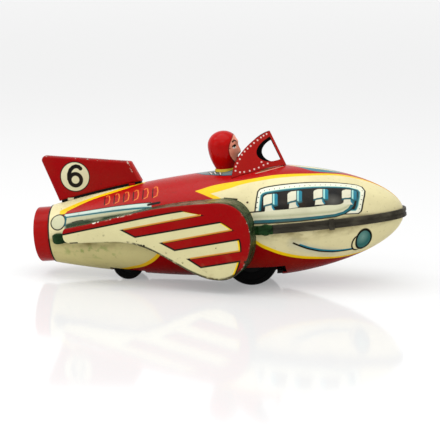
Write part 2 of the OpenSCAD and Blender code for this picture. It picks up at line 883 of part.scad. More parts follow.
module front_axle() {
    color(bare_steel) at_xz([0, 0])
        rod(front_axle_r, -front_wheel_out + 3 * tin, front_wheel_out - 3 * tin);
}

module drive_gear() {
    color(gear_brass) at_xz([0, 0])
        gear(gear_teeth, cluster_angle, drive_y, drive_y + gear_t, front_axle_r + run_gap);
}

module front_left_tyre() {
    color(tyre_black) at_xz([0, 0]) tyre(front_rim_r, front_wheel_r, front_wheel_in, front_tyre_w);
}

module front_right_tyre() {
    color(tyre_black) at_xz([0, 0]) left_from_right()
        tyre(front_rim_r, front_wheel_r, front_wheel_in, front_tyre_w);
}

module front_left_disc() {
    color(japan_black) at_xz([0, 0])
        wheel_disc(front_rim_r, front_axle_r, front_wheel_in, front_tyre_w, front_boss_in);
}

module front_right_disc() {
    color(japan_black) at_xz([0, 0]) left_from_right()
        wheel_disc(front_rim_r, front_axle_r, front_wheel_in, front_tyre_w, front_boss_in);
}

module cluster_arbor() {
    color(bare_steel) at_xz(cluster_at) rod(shaft_r, -plate_in - plate_t, plate_in + plate_t);
}

module cluster_pinion() {
    turn = cluster_angle + 180 + 180 / pinion_teeth;
    color(gear_brass) at_xz(cluster_at)
        gear(pinion_teeth, turn, drive_y - 0.3, drive_y + gear_t + 0.3, shaft_r + run_gap);
}

module cluster_gear() {
    color(gear_brass) at_xz(cluster_at)
        gear(gear_teeth, flywheel_angle, upper_y, upper_y + gear_t, shaft_r + run_gap);
}

module flywheel_shaft() {
    color(bare_steel) at_xz(flywheel_at) rod(shaft_r, -plate_in - plate_t, plate_in + plate_t);
}

module flywheel() {
    color(bare_steel) at_xz(flywheel_at) difference() {
        rod(flywheel_r, flywheel_y, flywheel_y + flywheel_t);
        rod(shaft_r + run_gap, -beyond, beyond);
    }
}

module flywheel_pinion() {
    turn = flywheel_angle + 180 + 180 / pinion_teeth;
    color(gear_brass) at_xz(flywheel_at)
        gear(pinion_teeth, turn, upper_y - 0.3, upper_y + gear_t + 0.3, shaft_r + run_gap);
}

module at_rear_axle() {
    translate([rear_x, 0, rear_wheel_r]) children();
}

module rear_axle() {
    color(bare_steel) at_rear_axle() rod(rear_axle_r, -rear_wheel_out + 3 * tin, rear_wheel_out - 3 * tin);
}

module rear_left_tyre() {
    color(tyre_black) at_rear_axle() tyre(rear_rim_r, rear_wheel_r, rear_wheel_in, rear_tyre_w);
}

module rear_right_tyre() {
    color(tyre_black) at_rear_axle() left_from_right()
        tyre(rear_rim_r, rear_wheel_r, rear_wheel_in, rear_tyre_w);
}

module rear_left_disc() {
    color(japan_black) at_rear_axle()
        wheel_disc(rear_rim_r, rear_axle_r, rear_wheel_in, rear_tyre_w, rear_boss_in);
}

module rear_right_disc() {
    color(japan_black) at_rear_axle() left_from_right()
        wheel_disc(rear_rim_r, rear_axle_r, rear_wheel_in, rear_tyre_w, rear_boss_in);
}

upper_shell();
lower_shell();
nose_bumper();
right_waist_strip();
left_waist_strip();
strip_clips();
right_wing_rail();
left_wing_rail();
right_wing();
left_wing();
tail_ring();
tail_bulkhead();
fin_right_skin();
fin_left_skin();
windshield();
driver_head();
driver_collar();
head_washer();
motor_right_plate();
motor_left_plate();
motor_pillars();
axle_bushes();
rear_axle_bracket();
front_axle();
drive_gear();
front_right_tyre();
front_left_tyre();
front_right_disc();
front_left_disc();
cluster_arbor();
cluster_pinion();
cluster_gear();
flywheel_shaft();
flywheel();
flywheel_pinion();
rear_axle();
rear_right_tyre();
rear_left_tyre();
rear_right_disc();
rear_left_disc();
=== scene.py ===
# %% [markdown]
# # Dressing a tin space rocket
# The CAD model of the rocket is already packed: shells, wings, fin, wheels and motor share one frame in metres.
# This lesson gives it the looks of an old lithographed toy. We load that frame, lay smoother sheets over the
# CAD solids, and print the inks with shader nodes instead of pictures.

# %% Load the frame
import math

import bmesh
import bpy
from mathutils import Matrix, Vector


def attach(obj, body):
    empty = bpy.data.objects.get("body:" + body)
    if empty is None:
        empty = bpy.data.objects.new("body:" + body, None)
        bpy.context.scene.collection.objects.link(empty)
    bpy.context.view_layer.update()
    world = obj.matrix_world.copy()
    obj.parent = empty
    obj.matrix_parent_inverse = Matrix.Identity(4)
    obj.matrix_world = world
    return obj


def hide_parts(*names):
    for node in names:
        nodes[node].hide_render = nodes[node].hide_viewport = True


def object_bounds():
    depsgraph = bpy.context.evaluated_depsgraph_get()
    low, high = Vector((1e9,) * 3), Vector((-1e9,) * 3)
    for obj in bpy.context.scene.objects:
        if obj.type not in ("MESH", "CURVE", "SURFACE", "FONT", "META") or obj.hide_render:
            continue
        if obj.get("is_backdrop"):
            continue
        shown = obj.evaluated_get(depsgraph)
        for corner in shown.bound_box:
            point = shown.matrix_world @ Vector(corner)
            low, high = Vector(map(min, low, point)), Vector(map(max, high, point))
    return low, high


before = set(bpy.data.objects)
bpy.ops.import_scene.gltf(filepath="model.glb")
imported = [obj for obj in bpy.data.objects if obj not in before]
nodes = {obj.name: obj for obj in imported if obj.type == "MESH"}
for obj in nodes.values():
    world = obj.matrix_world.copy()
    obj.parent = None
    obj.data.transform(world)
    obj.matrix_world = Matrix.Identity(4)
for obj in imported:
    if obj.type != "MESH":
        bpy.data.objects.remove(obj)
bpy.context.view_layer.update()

# %% [markdown]
# ## Sizes and the body's own frame
# The rocket sits nose up on its wheels, so its shapes are easier to describe along its own axis. A place is
# (s, y, w): s runs from the tail edge to the nose, w is square to the axis. One matrix turns such millimetres
# into the metres of the frame, and every piece goes through it once.

# %% Sizes
MM = 0.001
BODY_LEN, HALF_LEN, BODY_R, TAIL_R, WIDEST = 172.0, 86.0, 26.4, 14.2, 111.5
NOSE_LEN, NOSE_POWER, TIN = BODY_LEN - WIDEST, 1.5, 0.6
ARC_R = (WIDEST**2 + (BODY_R - TAIL_R) ** 2) / (2 * (BODY_R - TAIL_R))
MID_X, AXIS_Z, PITCH = 3.738, 27.971, math.radians(5.4)
STRIP_T, STRIP_H, STRIP_FROM, BUMPER_FROM = 1.3, 4.2, 112.7, 140.0
TO_ROW = (
    Matrix.Scale(MM, 4)
    @ Matrix.Translation((MID_X, 0, AXIS_Z))
    @ Matrix.Rotation(-PITCH, 4, "Y")
    @ Matrix.Translation((-HALF_LEN, 0, 0))
)
MIRROR_Y = Matrix.Scale(-1, 4, (0, 1, 0))
SIDES = (("right", TO_ROW), ("left", TO_ROW @ MIRROR_Y))


def skin(s):
    """The place (s, radius) on the body's outline, and its outward normal."""
    if s <= WIDEST:
        g = math.asin((WIDEST - s) / ARC_R)
        return Vector((s, BODY_R - ARC_R + ARC_R * math.cos(g))), Vector((-math.sin(g), math.cos(g)))
    root = 2 / NOSE_POWER
    g = math.asin(min(1, ((s - WIDEST) / NOSE_LEN) ** (1 / root)))
    run = NOSE_LEN * root * math.sin(g) ** (root - 1) * math.cos(g)
    return Vector((s, BODY_R * math.cos(g))), Vector((BODY_R * math.sin(g), run)).normalized()


def body_radius(s):
    return skin(s)[0].y


print("radius at the cockpit:", round(body_radius(88), 2), "mm")

# %% [markdown]
# ## Helpers for pieces
# Most sheets here are lofts: rings of points joined one to the next. A grid operator makes the faces and the
# rings say where its vertices go. When a piece is done, it is welded, its normals turned outwards, given the
# thickness of the tin, and told which CAD body it rides on and which node it stands for.


# %% Piece helpers
def weld(bm, gap=1e-4):
    bmesh.ops.remove_doubles(bm, verts=bm.verts, dist=gap)
    bmesh.ops.recalc_face_normals(bm, faces=bm.faces)


def loft(rings, closed=True):
    """A surface through rings of equal length."""
    count = len(rings[0])
    bm = bmesh.new()
    cols = count if closed else count - 1
    bmesh.ops.create_grid(bm, x_segments=len(rings) - 1, y_segments=cols, size=1)
    for v in bm.verts:
        i = round((v.co.x + 1) / 2 * (len(rings) - 1))
        j = round((v.co.y + 1) / 2 * cols) % count
        v.co = rings[i][j]
    weld(bm)
    return bm


def cap(bm, keep=lambda edge: True):
    """Closes the open rims that pass the test."""
    rim = [e for e in bm.edges if e.is_boundary and keep(e)]
    bmesh.ops.holes_fill(bm, edges=rim, sides=0)
    bmesh.ops.recalc_face_normals(bm, faces=bm.faces)


def spun(profile, steps=96, axis=(1, 0, 0)):
    """Turns a profile of points once round an axis through the origin."""
    bm = bmesh.new()
    verts = [bm.verts.new(p) for p in profile]
    edges = [bm.edges.new(pair) for pair in zip(verts, verts[1:])]
    bmesh.ops.spin(bm, geom=verts + edges, cent=(0, 0, 0), axis=axis, angle=2 * math.pi, steps=steps, use_merge=True)
    weld(bm)
    return bm


def joined(*parts):
    """Puts several meshes into one."""
    whole = bmesh.new()
    for part in parts:
        mesh = bpy.data.meshes.new("part")
        part.to_mesh(mesh)
        part.free()
        whole.from_mesh(mesh)
        bpy.data.meshes.remove(mesh)
    return whole


def place(name, bm, node, slot, *mats, body="chassis", matrix=TO_ROW, wall=0.0, inside=None, rim=0, sharp=35):
    """Makes the object, puts it into the frame, and lets it stand for its CAD node.
    An open sheet gets a wall on the side of the point inside, with the last material there; rim=1 puts it on the
    cut edges too."""
    bmesh.ops.recalc_face_normals(bm, faces=bm.faces)
    if inside:
        out = sum(f.normal.dot(f.calc_center_median() - Vector(inside)) * f.calc_area() for f in bm.faces)
        if out < 0:
            bmesh.ops.reverse_faces(bm, faces=bm.faces)
    bm.transform(matrix)
    if matrix.determinant() < 0:
        bmesh.ops.reverse_faces(bm, faces=bm.faces)
    mesh = bpy.data.meshes.new(name)
    bm.to_mesh(mesh)
    bm.free()
    piece = bpy.data.objects.new(name, mesh)
    bpy.context.scene.collection.objects.link(piece)
    for mat in mats:
        mesh.materials.append(mat)
    if wall:
        solid = piece.modifiers.new("wall", "SOLIDIFY")
        solid.thickness, solid.offset, solid.use_even_offset = wall * MM, -1, True
        solid.material_offset, solid.material_offset_rim = len(mats) - 1, rim
        ready = piece.evaluated_get(bpy.context.evaluated_depsgraph_get())
        piece.data = mesh = bpy.data.meshes.new_from_object(ready)
        piece.modifiers.clear()
        mesh.name = name
    mesh.shade_smooth()
    mesh.set_sharp_from_angle(angle=math.radians(sharp))
    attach(piece, body)
    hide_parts(node)
    print(name, "has", len(mesh.polygons), "faces")
    return piece


def cubic(p, c, e, q, steps=30):
    """Points of a Bezier curve, without its last one."""
    p, c, e, q = (Vector(v) for v in (p, c, e, q))
    return [(1 - t) ** 3 * p + 3 * (1 - t) ** 2 * t * c + 3 * (1 - t) * t**2 * e + t**3 * q
            for t in (i / steps for i in range(steps))]


def inset(points, d):
    """A closed anticlockwise outline moved inwards."""
    moved = []
    for i, p in enumerate(points):
        u = (p - points[i - 1]).normalized()
        v = (points[(i + 1) % len(points)] - p).normalized()
        m = Vector((-u.y - v.y, u.x + v.x))
        moved.append(p + 2 * d * m / m.dot(m))
    return moved


# %% [markdown]
# ## Helpers for ink
# A litho print is a stack of flat inks. The class below builds one material: it works out a place on the sheet
# in millimetres, measures distances to simple shapes with math nodes, and lays one ink over another wherever a
# distance is below zero. The same few methods draw every stripe, rivet and lamp on the toy.


# %% Ink helpers
class Paint:
    """A material whose colour is laid on in layers. self.spot is the place on the sheet in mm."""

    def __init__(self, name, colour, rough=0.35, metal=0.0, gloss=0.06):
        self.mat = bpy.data.materials.new(name)
        self.mat.use_nodes = True
        self.tree = self.mat.node_tree
        self.shader = self.tree.nodes["Principled BSDF"]
        self.rough = rough
        self.shader.inputs["Metallic"].default_value = metal
        self.shader.inputs["Specular IOR Level"].default_value = gloss
        self.colour = colour
        self.height = None
        turn = Matrix.Rotation(PITCH, 3, "Y")
        shift = Vector((HALF_LEN, 0, 0)) - turn @ Vector((MID_X, 0, AXIS_Z))
        row = self.add("ShaderNodeTexCoord", out=3)
        self.body = self.add("ShaderNodeMapping", row, tuple(shift), (0, PITCH, 0), (1000, 1000, 1000))
        self.s, self.y, self.w = self.split(self.body)

    def add(self, kind, *values, out=0, **settings):
        node = self.tree.nodes.new(kind)
        for key, value in settings.items():
            setattr(node, key, value)
        for socket, value in zip(node.inputs, values):
            self.feed(socket, value)
        return node.outputs[out]

    def feed(self, socket, value):
        if isinstance(value, bpy.types.NodeSocket):
            self.tree.links.new(value, socket)
        elif value is not None:
            socket.default_value = value

    def split(self, vector):
        node = self.tree.nodes.new("ShaderNodeSeparateXYZ")
        self.feed(node.inputs[0], vector)
        return node.outputs

    def calc(self, operation, a, b=0.0, c=0.0, clamp=False):
        return self.add("ShaderNodeMath", a, b, c, operation=operation, use_clamp=clamp)

    def times(self, a, b):
        return self.calc("MULTIPLY", a, b)

    def plus(self, a, b):
        return self.calc("ADD", a, b)

    def minus(self, a, b):
        return self.calc("SUBTRACT", a, b)

    def vec(self, operation, a, b=(0, 0, 0)):
        out = 1 if operation in ("DISTANCE", "DOT_PRODUCT", "LENGTH") else 0
        return self.add("ShaderNodeVectorMath", a, b, operation=operation, out=out)

    def on_sheet(self, u, v):
        """Sets the place on the sheet from two numbers."""
        self.u, self.v = u, v
        self.spot = self.add("ShaderNodeCombineXYZ", u, v, 0.0)

    def least(self, *parts):
        total = parts[0]
        for part in parts[1:]:
            total = self.calc("MINIMUM", total, part)
        return total

    def most(self, *parts):
        total = parts[0]
        for part in parts[1:]:
            total = self.calc("MAXIMUM", total, part)
        return total

    def disc(self, centre, r):
        return self.minus(self.vec("DISTANCE", self.spot, (*centre, 0)), r)

    def side(self, a, b):
        """Distance from the line a to b, positive on its left."""
        along = (Vector(b) - Vector(a)).normalized()
        normal = Vector((-along.y, along.x))
        return self.minus(self.vec("DOT_PRODUCT", self.spot, (*normal, 0)), normal.dot(Vector(a)))

    def patch(self, *corners):
        """A convex patch with its corners given anticlockwise."""
        sides = [self.times(self.side(a, b), -1.0) for a, b in zip(corners, corners[1:] + corners[:1])]
        return self.most(*sides)

    def stroke(self, points, half):
        """A line of round ends along the points."""
        found = []
        for a, b in zip(points, points[1:]):
            a, ab = Vector((*a, 0)), Vector((*b, 0)) - Vector((*a, 0))
            from_a = self.vec("SUBTRACT", self.spot, tuple(a))
            share = self.calc("ADD", self.vec("DOT_PRODUCT", from_a, tuple(ab / ab.length_squared)), 0.0, clamp=True)
            near = self.add("ShaderNodeVectorMath", tuple(ab), None, None, share, operation="SCALE")
            found.append(self.vec("DISTANCE", from_a, near))
        return self.minus(self.least(*found), half)

    def curve(self, points, over=None, span=(0.0, 172.0), reach=(-45.0, 45.0)):
        """A smooth height that follows the points as over (the sheet's u) grows."""
        node = self.tree.nodes.new("ShaderNodeFloatCurve")
        line = node.mapping.curves[0]
        points = sorted(points)
        scaled = [((a - span[0]) / (span[1] - span[0]), (b - reach[0]) / (reach[1] - reach[0])) for a, b in points]
        for x, y in scaled[1:-1]:
            line.points.new(x, y)
        line.points[0].location, line.points[-1].location = scaled[0], scaled[-1]
        node.mapping.update()
        size = span[1] - span[0]
        self.feed(node.inputs[1], self.calc("MULTIPLY_ADD", over or self.u, 1 / size, -span[0] / size))
        return self.calc("MULTIPLY_ADD", node.outputs[0], reach[1] - reach[0], reach[0])

    def above(self, points):
        """Distance above a curve across the sheet."""
        return self.minus(self.v, self.curve(points))

    def below(self, points):
        return self.minus(self.curve(points), self.v)

    def past(self, edge, value=None):
        """Distance beyond a limit on the sheet's u."""
        return self.minus(value or self.u, edge)

    def before(self, edge, value=None):
        return self.minus(edge, value or self.u)

    def strip(self, top, bottom, left, right):
        """The band between two heights, from left to right."""
        return self.most(self.minus(self.v, top), self.minus(bottom, self.v),
                         self.before(left), self.past(right))

    def near(self, value, target, half):
        """Distance from where a value is within half of a target."""
        return self.minus(self.calc("ABSOLUTE", self.minus(value, target)), half)

    def oval(self, centre, radii):
        """An upright ellipse."""
        scaled = self.vec("DIVIDE", self.vec("SUBTRACT", self.spot, (*centre, 0)), (*radii, 1))
        return self.times(self.minus(self.vec("LENGTH", scaled), 1.0), min(radii))

    def mask(self, distance, soft=0.13):
        """One inside a shape, zero outside, with a soft edge in mm."""
        return self.calc("MULTIPLY_ADD", distance, -0.5 / soft, 0.5, clamp=True)

    def lay(self, ink, mask):
        """Lays an ink over what is there. mask is a socket from 0 to 1."""
        self.colour = self.add("ShaderNodeMix", mask, None, None, None, None, None, self.colour, ink,
                               data_type="RGBA", out=2)

    def wash(self, ink, mask, share):
        """Lays an ink thinly: only a share of it covers."""
        self.lay(ink, self.times(mask, share))

    def fill(self, ink, distance, soft=0.13):
        self.lay(ink, self.mask(distance, soft))

    def outline(self, ink, distance, half=0.25, shift=0.0):
        """A line along a shape's edge, moved out by shift."""
        away = self.calc("ABSOLUTE", self.minus(distance, shift))
        self.lay(ink, self.mask(self.minus(away, half)))

    def noise(self, size, detail=3.0, stretch=(1, 1, 1), low=0.0, high=1.0):
        """Soft noise whose spots are about size mm across, spread from 0 to 1 between low and high."""
        where = self.add("ShaderNodeMapping", self.body, (7.3 * size, 0, 0), None, stretch)
        value = self.add("ShaderNodeTexNoise", where, None, 1 / size, detail)
        return self.calc("MULTIPLY_ADD", value, 1 / (high - low), -low / (high - low), clamp=True)

    def specks(self, ink, cell, radius, share, where=None):
        """Small chips: one in each cell of that size, kept for a share of the cells and where a mask says."""
        node = self.tree.nodes.new("ShaderNodeTexVoronoi")
        self.feed(node.inputs["Vector"], self.body)
        node.inputs["Scale"].default_value = 1 / cell
        lot = self.split(node.outputs["Color"])
        size = self.times(lot[1], radius / cell)
        inside = self.calc("LESS_THAN", node.outputs["Distance"], size)
        kept = self.calc("LESS_THAN", lot[0], share)
        chip = self.times(inside, kept)
        self.lay(ink, chip if where is None else self.times(chip, where))

    def bump(self, height, depth, distance=0.0006):
        """Adds a height map; depth is its strength."""
        node = self.tree.nodes.new("ShaderNodeBump")
        node.inputs["Strength"].default_value = depth
        node.inputs["Distance"].default_value = distance
        self.feed(node.inputs["Height"], height)
        if self.height is not None:
            self.feed(node.inputs["Normal"], self.height)
        self.height = node.outputs[0]

    def done(self, rough_range=0.1, grain=6.0):
        """Connects colour, varied roughness and bumps to the shader."""
        self.feed(self.shader.inputs["Base Color"], self.colour)
        spread = self.noise(grain, 4.0)
        self.feed(self.shader.inputs["Roughness"],
                  self.calc("MULTIPLY_ADD", spread, 2 * rough_range, self.rough - rough_range))
        if self.height is not None:
            self.feed(self.shader.inputs["Normal"], self.height)
        print("paint", self.mat.name, "has", len(self.tree.nodes), "nodes")
        return self.mat


RED, DEEP_RED, CREAM = (0.37, 0.004, 0.004, 1), (0.285, 0.001, 0.002, 1), (0.71, 0.64, 0.36, 1)
YELLOW, TEAL, DARK_TEAL = (0.82, 0.53, 0.004, 1), (0.012, 0.19, 0.27, 1), (0.012, 0.10, 0.12, 1)
INK, PALE, ORANGE = (0.004, 0.004, 0.004, 1), (0.56, 0.66, 0.58, 1), (0.75, 0.20, 0.035, 1)
RUST, BARE, DIRT = (0.06, 0.028, 0.012, 1), (0.62, 0.60, 0.55, 1), (0.16, 0.13, 0.05, 1)

# %% [markdown]
# ## The print on the upper shell
# The sheet's u is the place along the body and its v is the way up from the waist, measured round the body. Each
# motif is a few corner points: a pale arrow on the flank, a window with four exhaust stubs, and the pipe and
# louvres at the tail. Curves across the sheet are kept as float curves, which bend smoothly between their points.


# %% Print helpers
def tin_print(name, colour, gloss=0.06):
    """A paint for the body whose sheet is unrolled from the waist on both sides."""
    p = Paint(name, colour, rough=0.27, gloss=gloss)
    angle = p.calc("ARCTAN2", p.w, p.calc("ABSOLUTE", p.y))
    p.on_sheet(p.s, p.times(angle, BODY_R))
    return p


def age(p, strength=1.0):
    """Old varnish: brown clouds, fine dark specks, a few bare chips and a soft unevenness."""
    cloud = p.noise(16, 5, low=0.45, high=0.8)
    p.wash((0.12, 0.07, 0.025, 1), cloud, 0.2 * strength)
    fine = p.noise(1.6, 3, low=0.62, high=0.78)
    p.wash((0.05, 0.03, 0.015, 1), fine, 0.25 * strength)
    p.specks(INK, 6.5, 0.34, 0.25 * strength)
    p.specks(BARE, 11, 0.3, 0.10 * strength)
    p.bump(p.noise(14, 2), 0.12)
    p.bump(p.noise(0.5, 2), 0.05)


# %% Upper shell: flank
p = tin_print("upper print", RED, gloss=0.12)
p.fill(YELLOW, p.most(
    p.above([(0, 10), (75.8, 22.6), (84.6, 25), (98, 26.5), (111.5, 28.6), (124.5, 30.6), (131, 32), (137.3, 34.2),
             (143, 36.6), (148.5, 38.5), (155, 39.6), (160, 40.2), (172, 40.8)]),
    p.below([(0, 70), (75.9, 22.1), (84.4, 17), (87, 15.6), (93, 10), (98, 4), (103, -3), (110, -12), (172, -20)]),
    p.before(75.7)))
p.fill(CREAM, p.most(
    p.above([(0, 8), (83.2, 19.9), (91.7, 21.8), (98.3, 23.8), (111.6, 26), (124.7, 28.4), (134.3, 31), (143.8, 34.4),
             (150, 36.2), (160, 38.6), (172, 39.8)]),
    p.below([(0, 75), (83.2, 19.9), (88.5, 16.6), (94.5, 11), (99.5, 4.5), (104, -2), (111, -12), (172, -20)]),
    p.before(83.0)))
leaf = p.curve([(0, -9), (112, -6), (120, 0), (126, 3.6), (131, 5.6), (135.7, 5.3), (141.4, 2.6), (145.5, 0),
                (172, -9)])
core = p.curve([(0, -9), (112, -4), (118, 0), (124, 1.4), (130, 1.7), (136, 1.1), (141, 0.5), (144, 0), (172, -6)])
aside = p.calc("ABSOLUTE", p.y)
p.fill((0.04, 0.17, 0.21, 1), p.minus(aside, leaf), 0.3)
p.fill(CREAM, p.minus(aside, core))
print("flank:", len(p.tree.nodes), "nodes so far")

# %% [markdown]
# A patch is the largest of its distances to straight sides, so a window frame is one patch inside another. The
# row of rivets is a single dot: a modulo of u repeats it along the frame.

# %% Upper shell: window and stubs
window = p.patch((104.4, 6), (152.2, 5), (153.4, 6.3), (153.9, 8.1), (155.2, 18.6), (155.4, 23.4), (154, 26.9),
                 (151.7, 27.7), (109.5, 20.9), (107.1, 20.1), (106.1, 18.8), (104.7, 8.8))
p.fill((0.80, 0.81, 0.64, 1), window)
p.outline(INK, window, 0.36)
step = p.minus(p.calc("MODULO", p.u, 2.35), 1.17)
off = p.add("ShaderNodeCombineXYZ", step, p.plus(p.v, p.calc("MULTIPLY_ADD", p.u, -0.157, -1.87)), 0.0)
p.fill((0.05, 0.07, 0.06, 1), p.most(p.minus(p.vec("LENGTH", off), 0.25), p.before(108.5), p.past(152)))
side_rivets = [(105.6, 10.6), (106, 13.1), (106.5, 15.6), (107.4, 18), (154.2, 23.1), (154.2, 18.9), (153.8, 15.3),
               (153.3, 11.6), (152.8, 8.3)]
p.fill(INK, p.least(*(p.disc(q, 0.28) for q in side_rivets)))
border = p.patch((106.2, 7.5), (151, 6.9), (151.7, 7.8), (152.4, 10.3), (153.3, 17.3), (153.4, 21.5), (152.3, 23.4),
                 (148.5, 24.1), (109.6, 18.4), (108.2, 17.8), (107.3, 16.8))
p.fill((0.22, 0.50, 0.48, 1), border)
p.fill((0.010, 0.12, 0.15, 1), p.plus(border, 0.35))
p.fill(INK, p.plus(border, 1.15))
inside = p.mask(p.plus(border, 1.3), 0.4)
haze = p.times(p.mask(p.oval((141, 13.2), (2.8, 2.6)), 2.5), inside)
p.wash((0.12, 0.115, 0.10, 1), haze, 0.8)
print("window:", len(p.tree.nodes), "nodes so far")

# %% [markdown]
# The four stubs are alike, so they are drawn once. A new sheet measures u from the nearest stub's start and v as a
# share of its height, and the old sheet comes back afterwards.

# %% Upper shell: the exhaust pipe and its stubs
pipe_top = p.curve([(0, 8), (103.6, 8.6), (109, 8.8), (119.3, 9), (125.3, 9.5), (131.3, 9.8), (137.3, 10.6),
                    (144.1, 11.2), (146.2, 12.9), (149.4, 14.4), (172, 20)])
pipe_low = p.curve([(0, 4.8), (105, 4.6), (111.6, 4.4), (125.6, 4.5), (134.8, 4.9), (141.6, 5.5), (145.3, 6.8),
                    (147.6, 8.6), (148.8, 10.9), (149.4, 13.4), (172, 44)])
path = [(104.5, 4.0), (116.3, 3.8), (125.6, 3.9), (134.8, 4.3), (141.6, 4.8), (145.6, 6.1), (148.1, 8.2),
        (149.5, 10.8), (150, 13.6)]
pipe = p.strip(pipe_top, pipe_low, 103.4, 149.6)
p.fill(INK, p.stroke([(a + 0.15, b - 0.4) for a, b in path], 0.85))
p.fill((0.62, 0.61, 0.42, 1), pipe)
shade = p.mask(p.near(p.minus(p.v, pipe_low), 1.6, 0.6), 0.9)
p.lay((0.33, 0.35, 0.20, 1), p.times(p.times(shade, p.mask(pipe)), 0.75))
p.fill((0.014, 0.125, 0.155, 1), p.stroke(path, 0.72))
p.fill(INK, p.stroke([(102.6, 8.6), (109, 8.8)], 0.33))
firsts = (108.8, 120.1, 132.1, 145.0)
along = p.least(*(p.plus(p.past(s), p.times(p.calc("LESS_THAN", p.u, s), 200.0)) for s in firsts))
top = p.curve([(0, 14), (111, 16.9), (122.2, 18.3), (134, 20.1), (147, 21.9), (172, 24)])
base = p.curve([(0, 8), (111.6, 11.7), (122.9, 12.9), (134.9, 14.5), (147.8, 15.3), (172, 16)])
share = p.calc("DIVIDE", p.minus(p.v, base), p.minus(top, base))
u, v = p.u, p.v
p.on_sheet(along, p.times(share, 5.3))
p.fill((0.68, 0.66, 0.50, 1), p.patch((0.6, -3.2), (4.8, -3.2), (4.3, -0.3), (0.9, -0.7)))
p.fill(TEAL, p.stroke([(4.2, -0.2), (4.3, -1.6), (4.9, -2.6)], 0.38))
p.fill((0.71, 0.69, 0.52, 1), p.patch((0, -0.5), (1.6, 0), (4.2, 0), (4.2, 5.3), (1.9, 5.3), (0.5, 4.7), (0, 3.9)))
band = p.patch((4.1, -0.2), (5.4, -0.95), (6.7, -0.7), (6.75, 4.4), (6.2, 5.1), (4.1, 5.3))
p.fill(TEAL, band)
p.fill((0.36, 0.70, 0.64, 1), p.most(band, p.near(p.u, 4.85, 0.36)))
p.fill((0.02, 0.07, 0.08, 1), p.most(band, p.near(p.u, 4.22, 0.2)))
p.fill(DARK_TEAL, p.stroke([(0.1, -0.6), (1.6, -0.05), (4, -0.05), (5.3, -0.9), (6.5, -0.75)], 0.38))
p.on_sheet(u, v)
print("pipe and", len(firsts), "stubs:", len(p.tree.nodes), "nodes so far")

# %% [markdown]
# The long pipe runs under a curve, and its lines keep a fixed distance from that curve. The dark green band above
# the wing's edge is a soft mask times a noise that is stretched along the body.

# %% Upper shell: tail
p.fill(CREAM, p.past(6.2))
p.fill(YELLOW, p.most(
    p.below([(0, 19), (6.4, 20), (9, 20.2), (9.8, 22), (11.6, 23.3), (14.1, 24.8), (19, 27.7), (24, 30.1), (29, 31.4),
             (33.9, 32.8), (38.8, 34.5), (43.4, 37.2), (47, 38.9), (172, 44)]),
    p.before(6.2), p.past(48)))
p.fill(CREAM, p.most(p.below([(0, 20), (6.1, 24.6), (11.1, 27.5), (16.1, 30.1), (21, 32.2), (26, 34), (30.9, 35.5),
                              (35.7, 37.4), (40.5, 39.3), (47, 41.3), (172, 44)]), p.past(47)))
wedge = p.curve([(0, 20.6), (6.5, 20.2), (9.2, 20), (19.8, 19.6), (30.3, 19.5), (40.6, 19.3), (50.8, 18.8),
                 (60, 17.8), (172, 17)])
under = p.minus(wedge, p.v)
p.fill(CREAM, p.least(p.strip(6.4, -5.0, -1.0, 66), p.strip(12.0, -5.0, -1.0, 9.6)))
p.fill((0.50, 0.49, 0.31, 1), p.strip(wedge, 6.4, 9.0, 54))
p.fill(PALE, p.most(p.near(under, 1.6, 1.5), p.before(9.3), p.past(54)), 0.3)
p.fill((0.20, 0.36, 0.35, 1), p.most(p.near(under, 3.1, 0.75), p.before(9.4), p.past(54)), 0.25)
p.fill(DARK_TEAL, p.most(p.near(under, 3.1, 0.42), p.before(9.4), p.past(54)))
p.fill(INK, p.most(p.near(under, 0, 0.27), p.before(6.4), p.past(54)))
green = p.most(p.above([(0, 11), (9, 11), (13.2, 12), (23, 13), (36, 13.8), (48.4, 14.4), (63.4, 16.2), (172, 20)]),
               p.before(9.6), p.past(54))
green_band = p.times(p.mask(green, 0.7), p.noise(4, 4, (0.3, 1, 1), low=0.15, high=0.45))
p.lay((0.020, 0.046, 0.020, 1), green_band)
p.fill((0.012, 0.014, 0.006, 1), p.stroke([(13.4, 11.9), (16, 12.5), (18.8, 12.6)], 0.36))
mouth = p.oval((5.7, 13.8), (3.8, 6.7))
p.fill((0.55, 0.55, 0.36, 1), mouth)
p.outline(INK, mouth, 0.3)
p.fill(DARK_TEAL, p.stroke([(9.2, 18.1), (9.9, 15.5), (9.7, 13), (9.4, 9.8)], 0.42))
u, v = p.u, p.v
p.on_sheet(p.calc("MODULO", p.past(28.9), 4.9), v)
row = p.most(p.before(28.9, u), p.past(58.3, u))
loop = [(1.5, 21.8), (3.1, 22.7), (3.25, 26), (2.5, 29.7), (1.5, 30.2), (1, 29.2)]
p.fill(ORANGE, p.most(p.stroke(loop, 0.26), row))
p.fill(INK, p.most(p.stroke([(0.9, 21.8), (0.5, 28.8)], 0.26), row))
p.on_sheet(u, v)
print("tail:", len(p.tree.nodes), "nodes so far")

# %% [markdown]
# The cockpit's deck ends at the windshield, so its edge needs the distance from the middle plane as well. The wear
# goes on last, over all the inks.

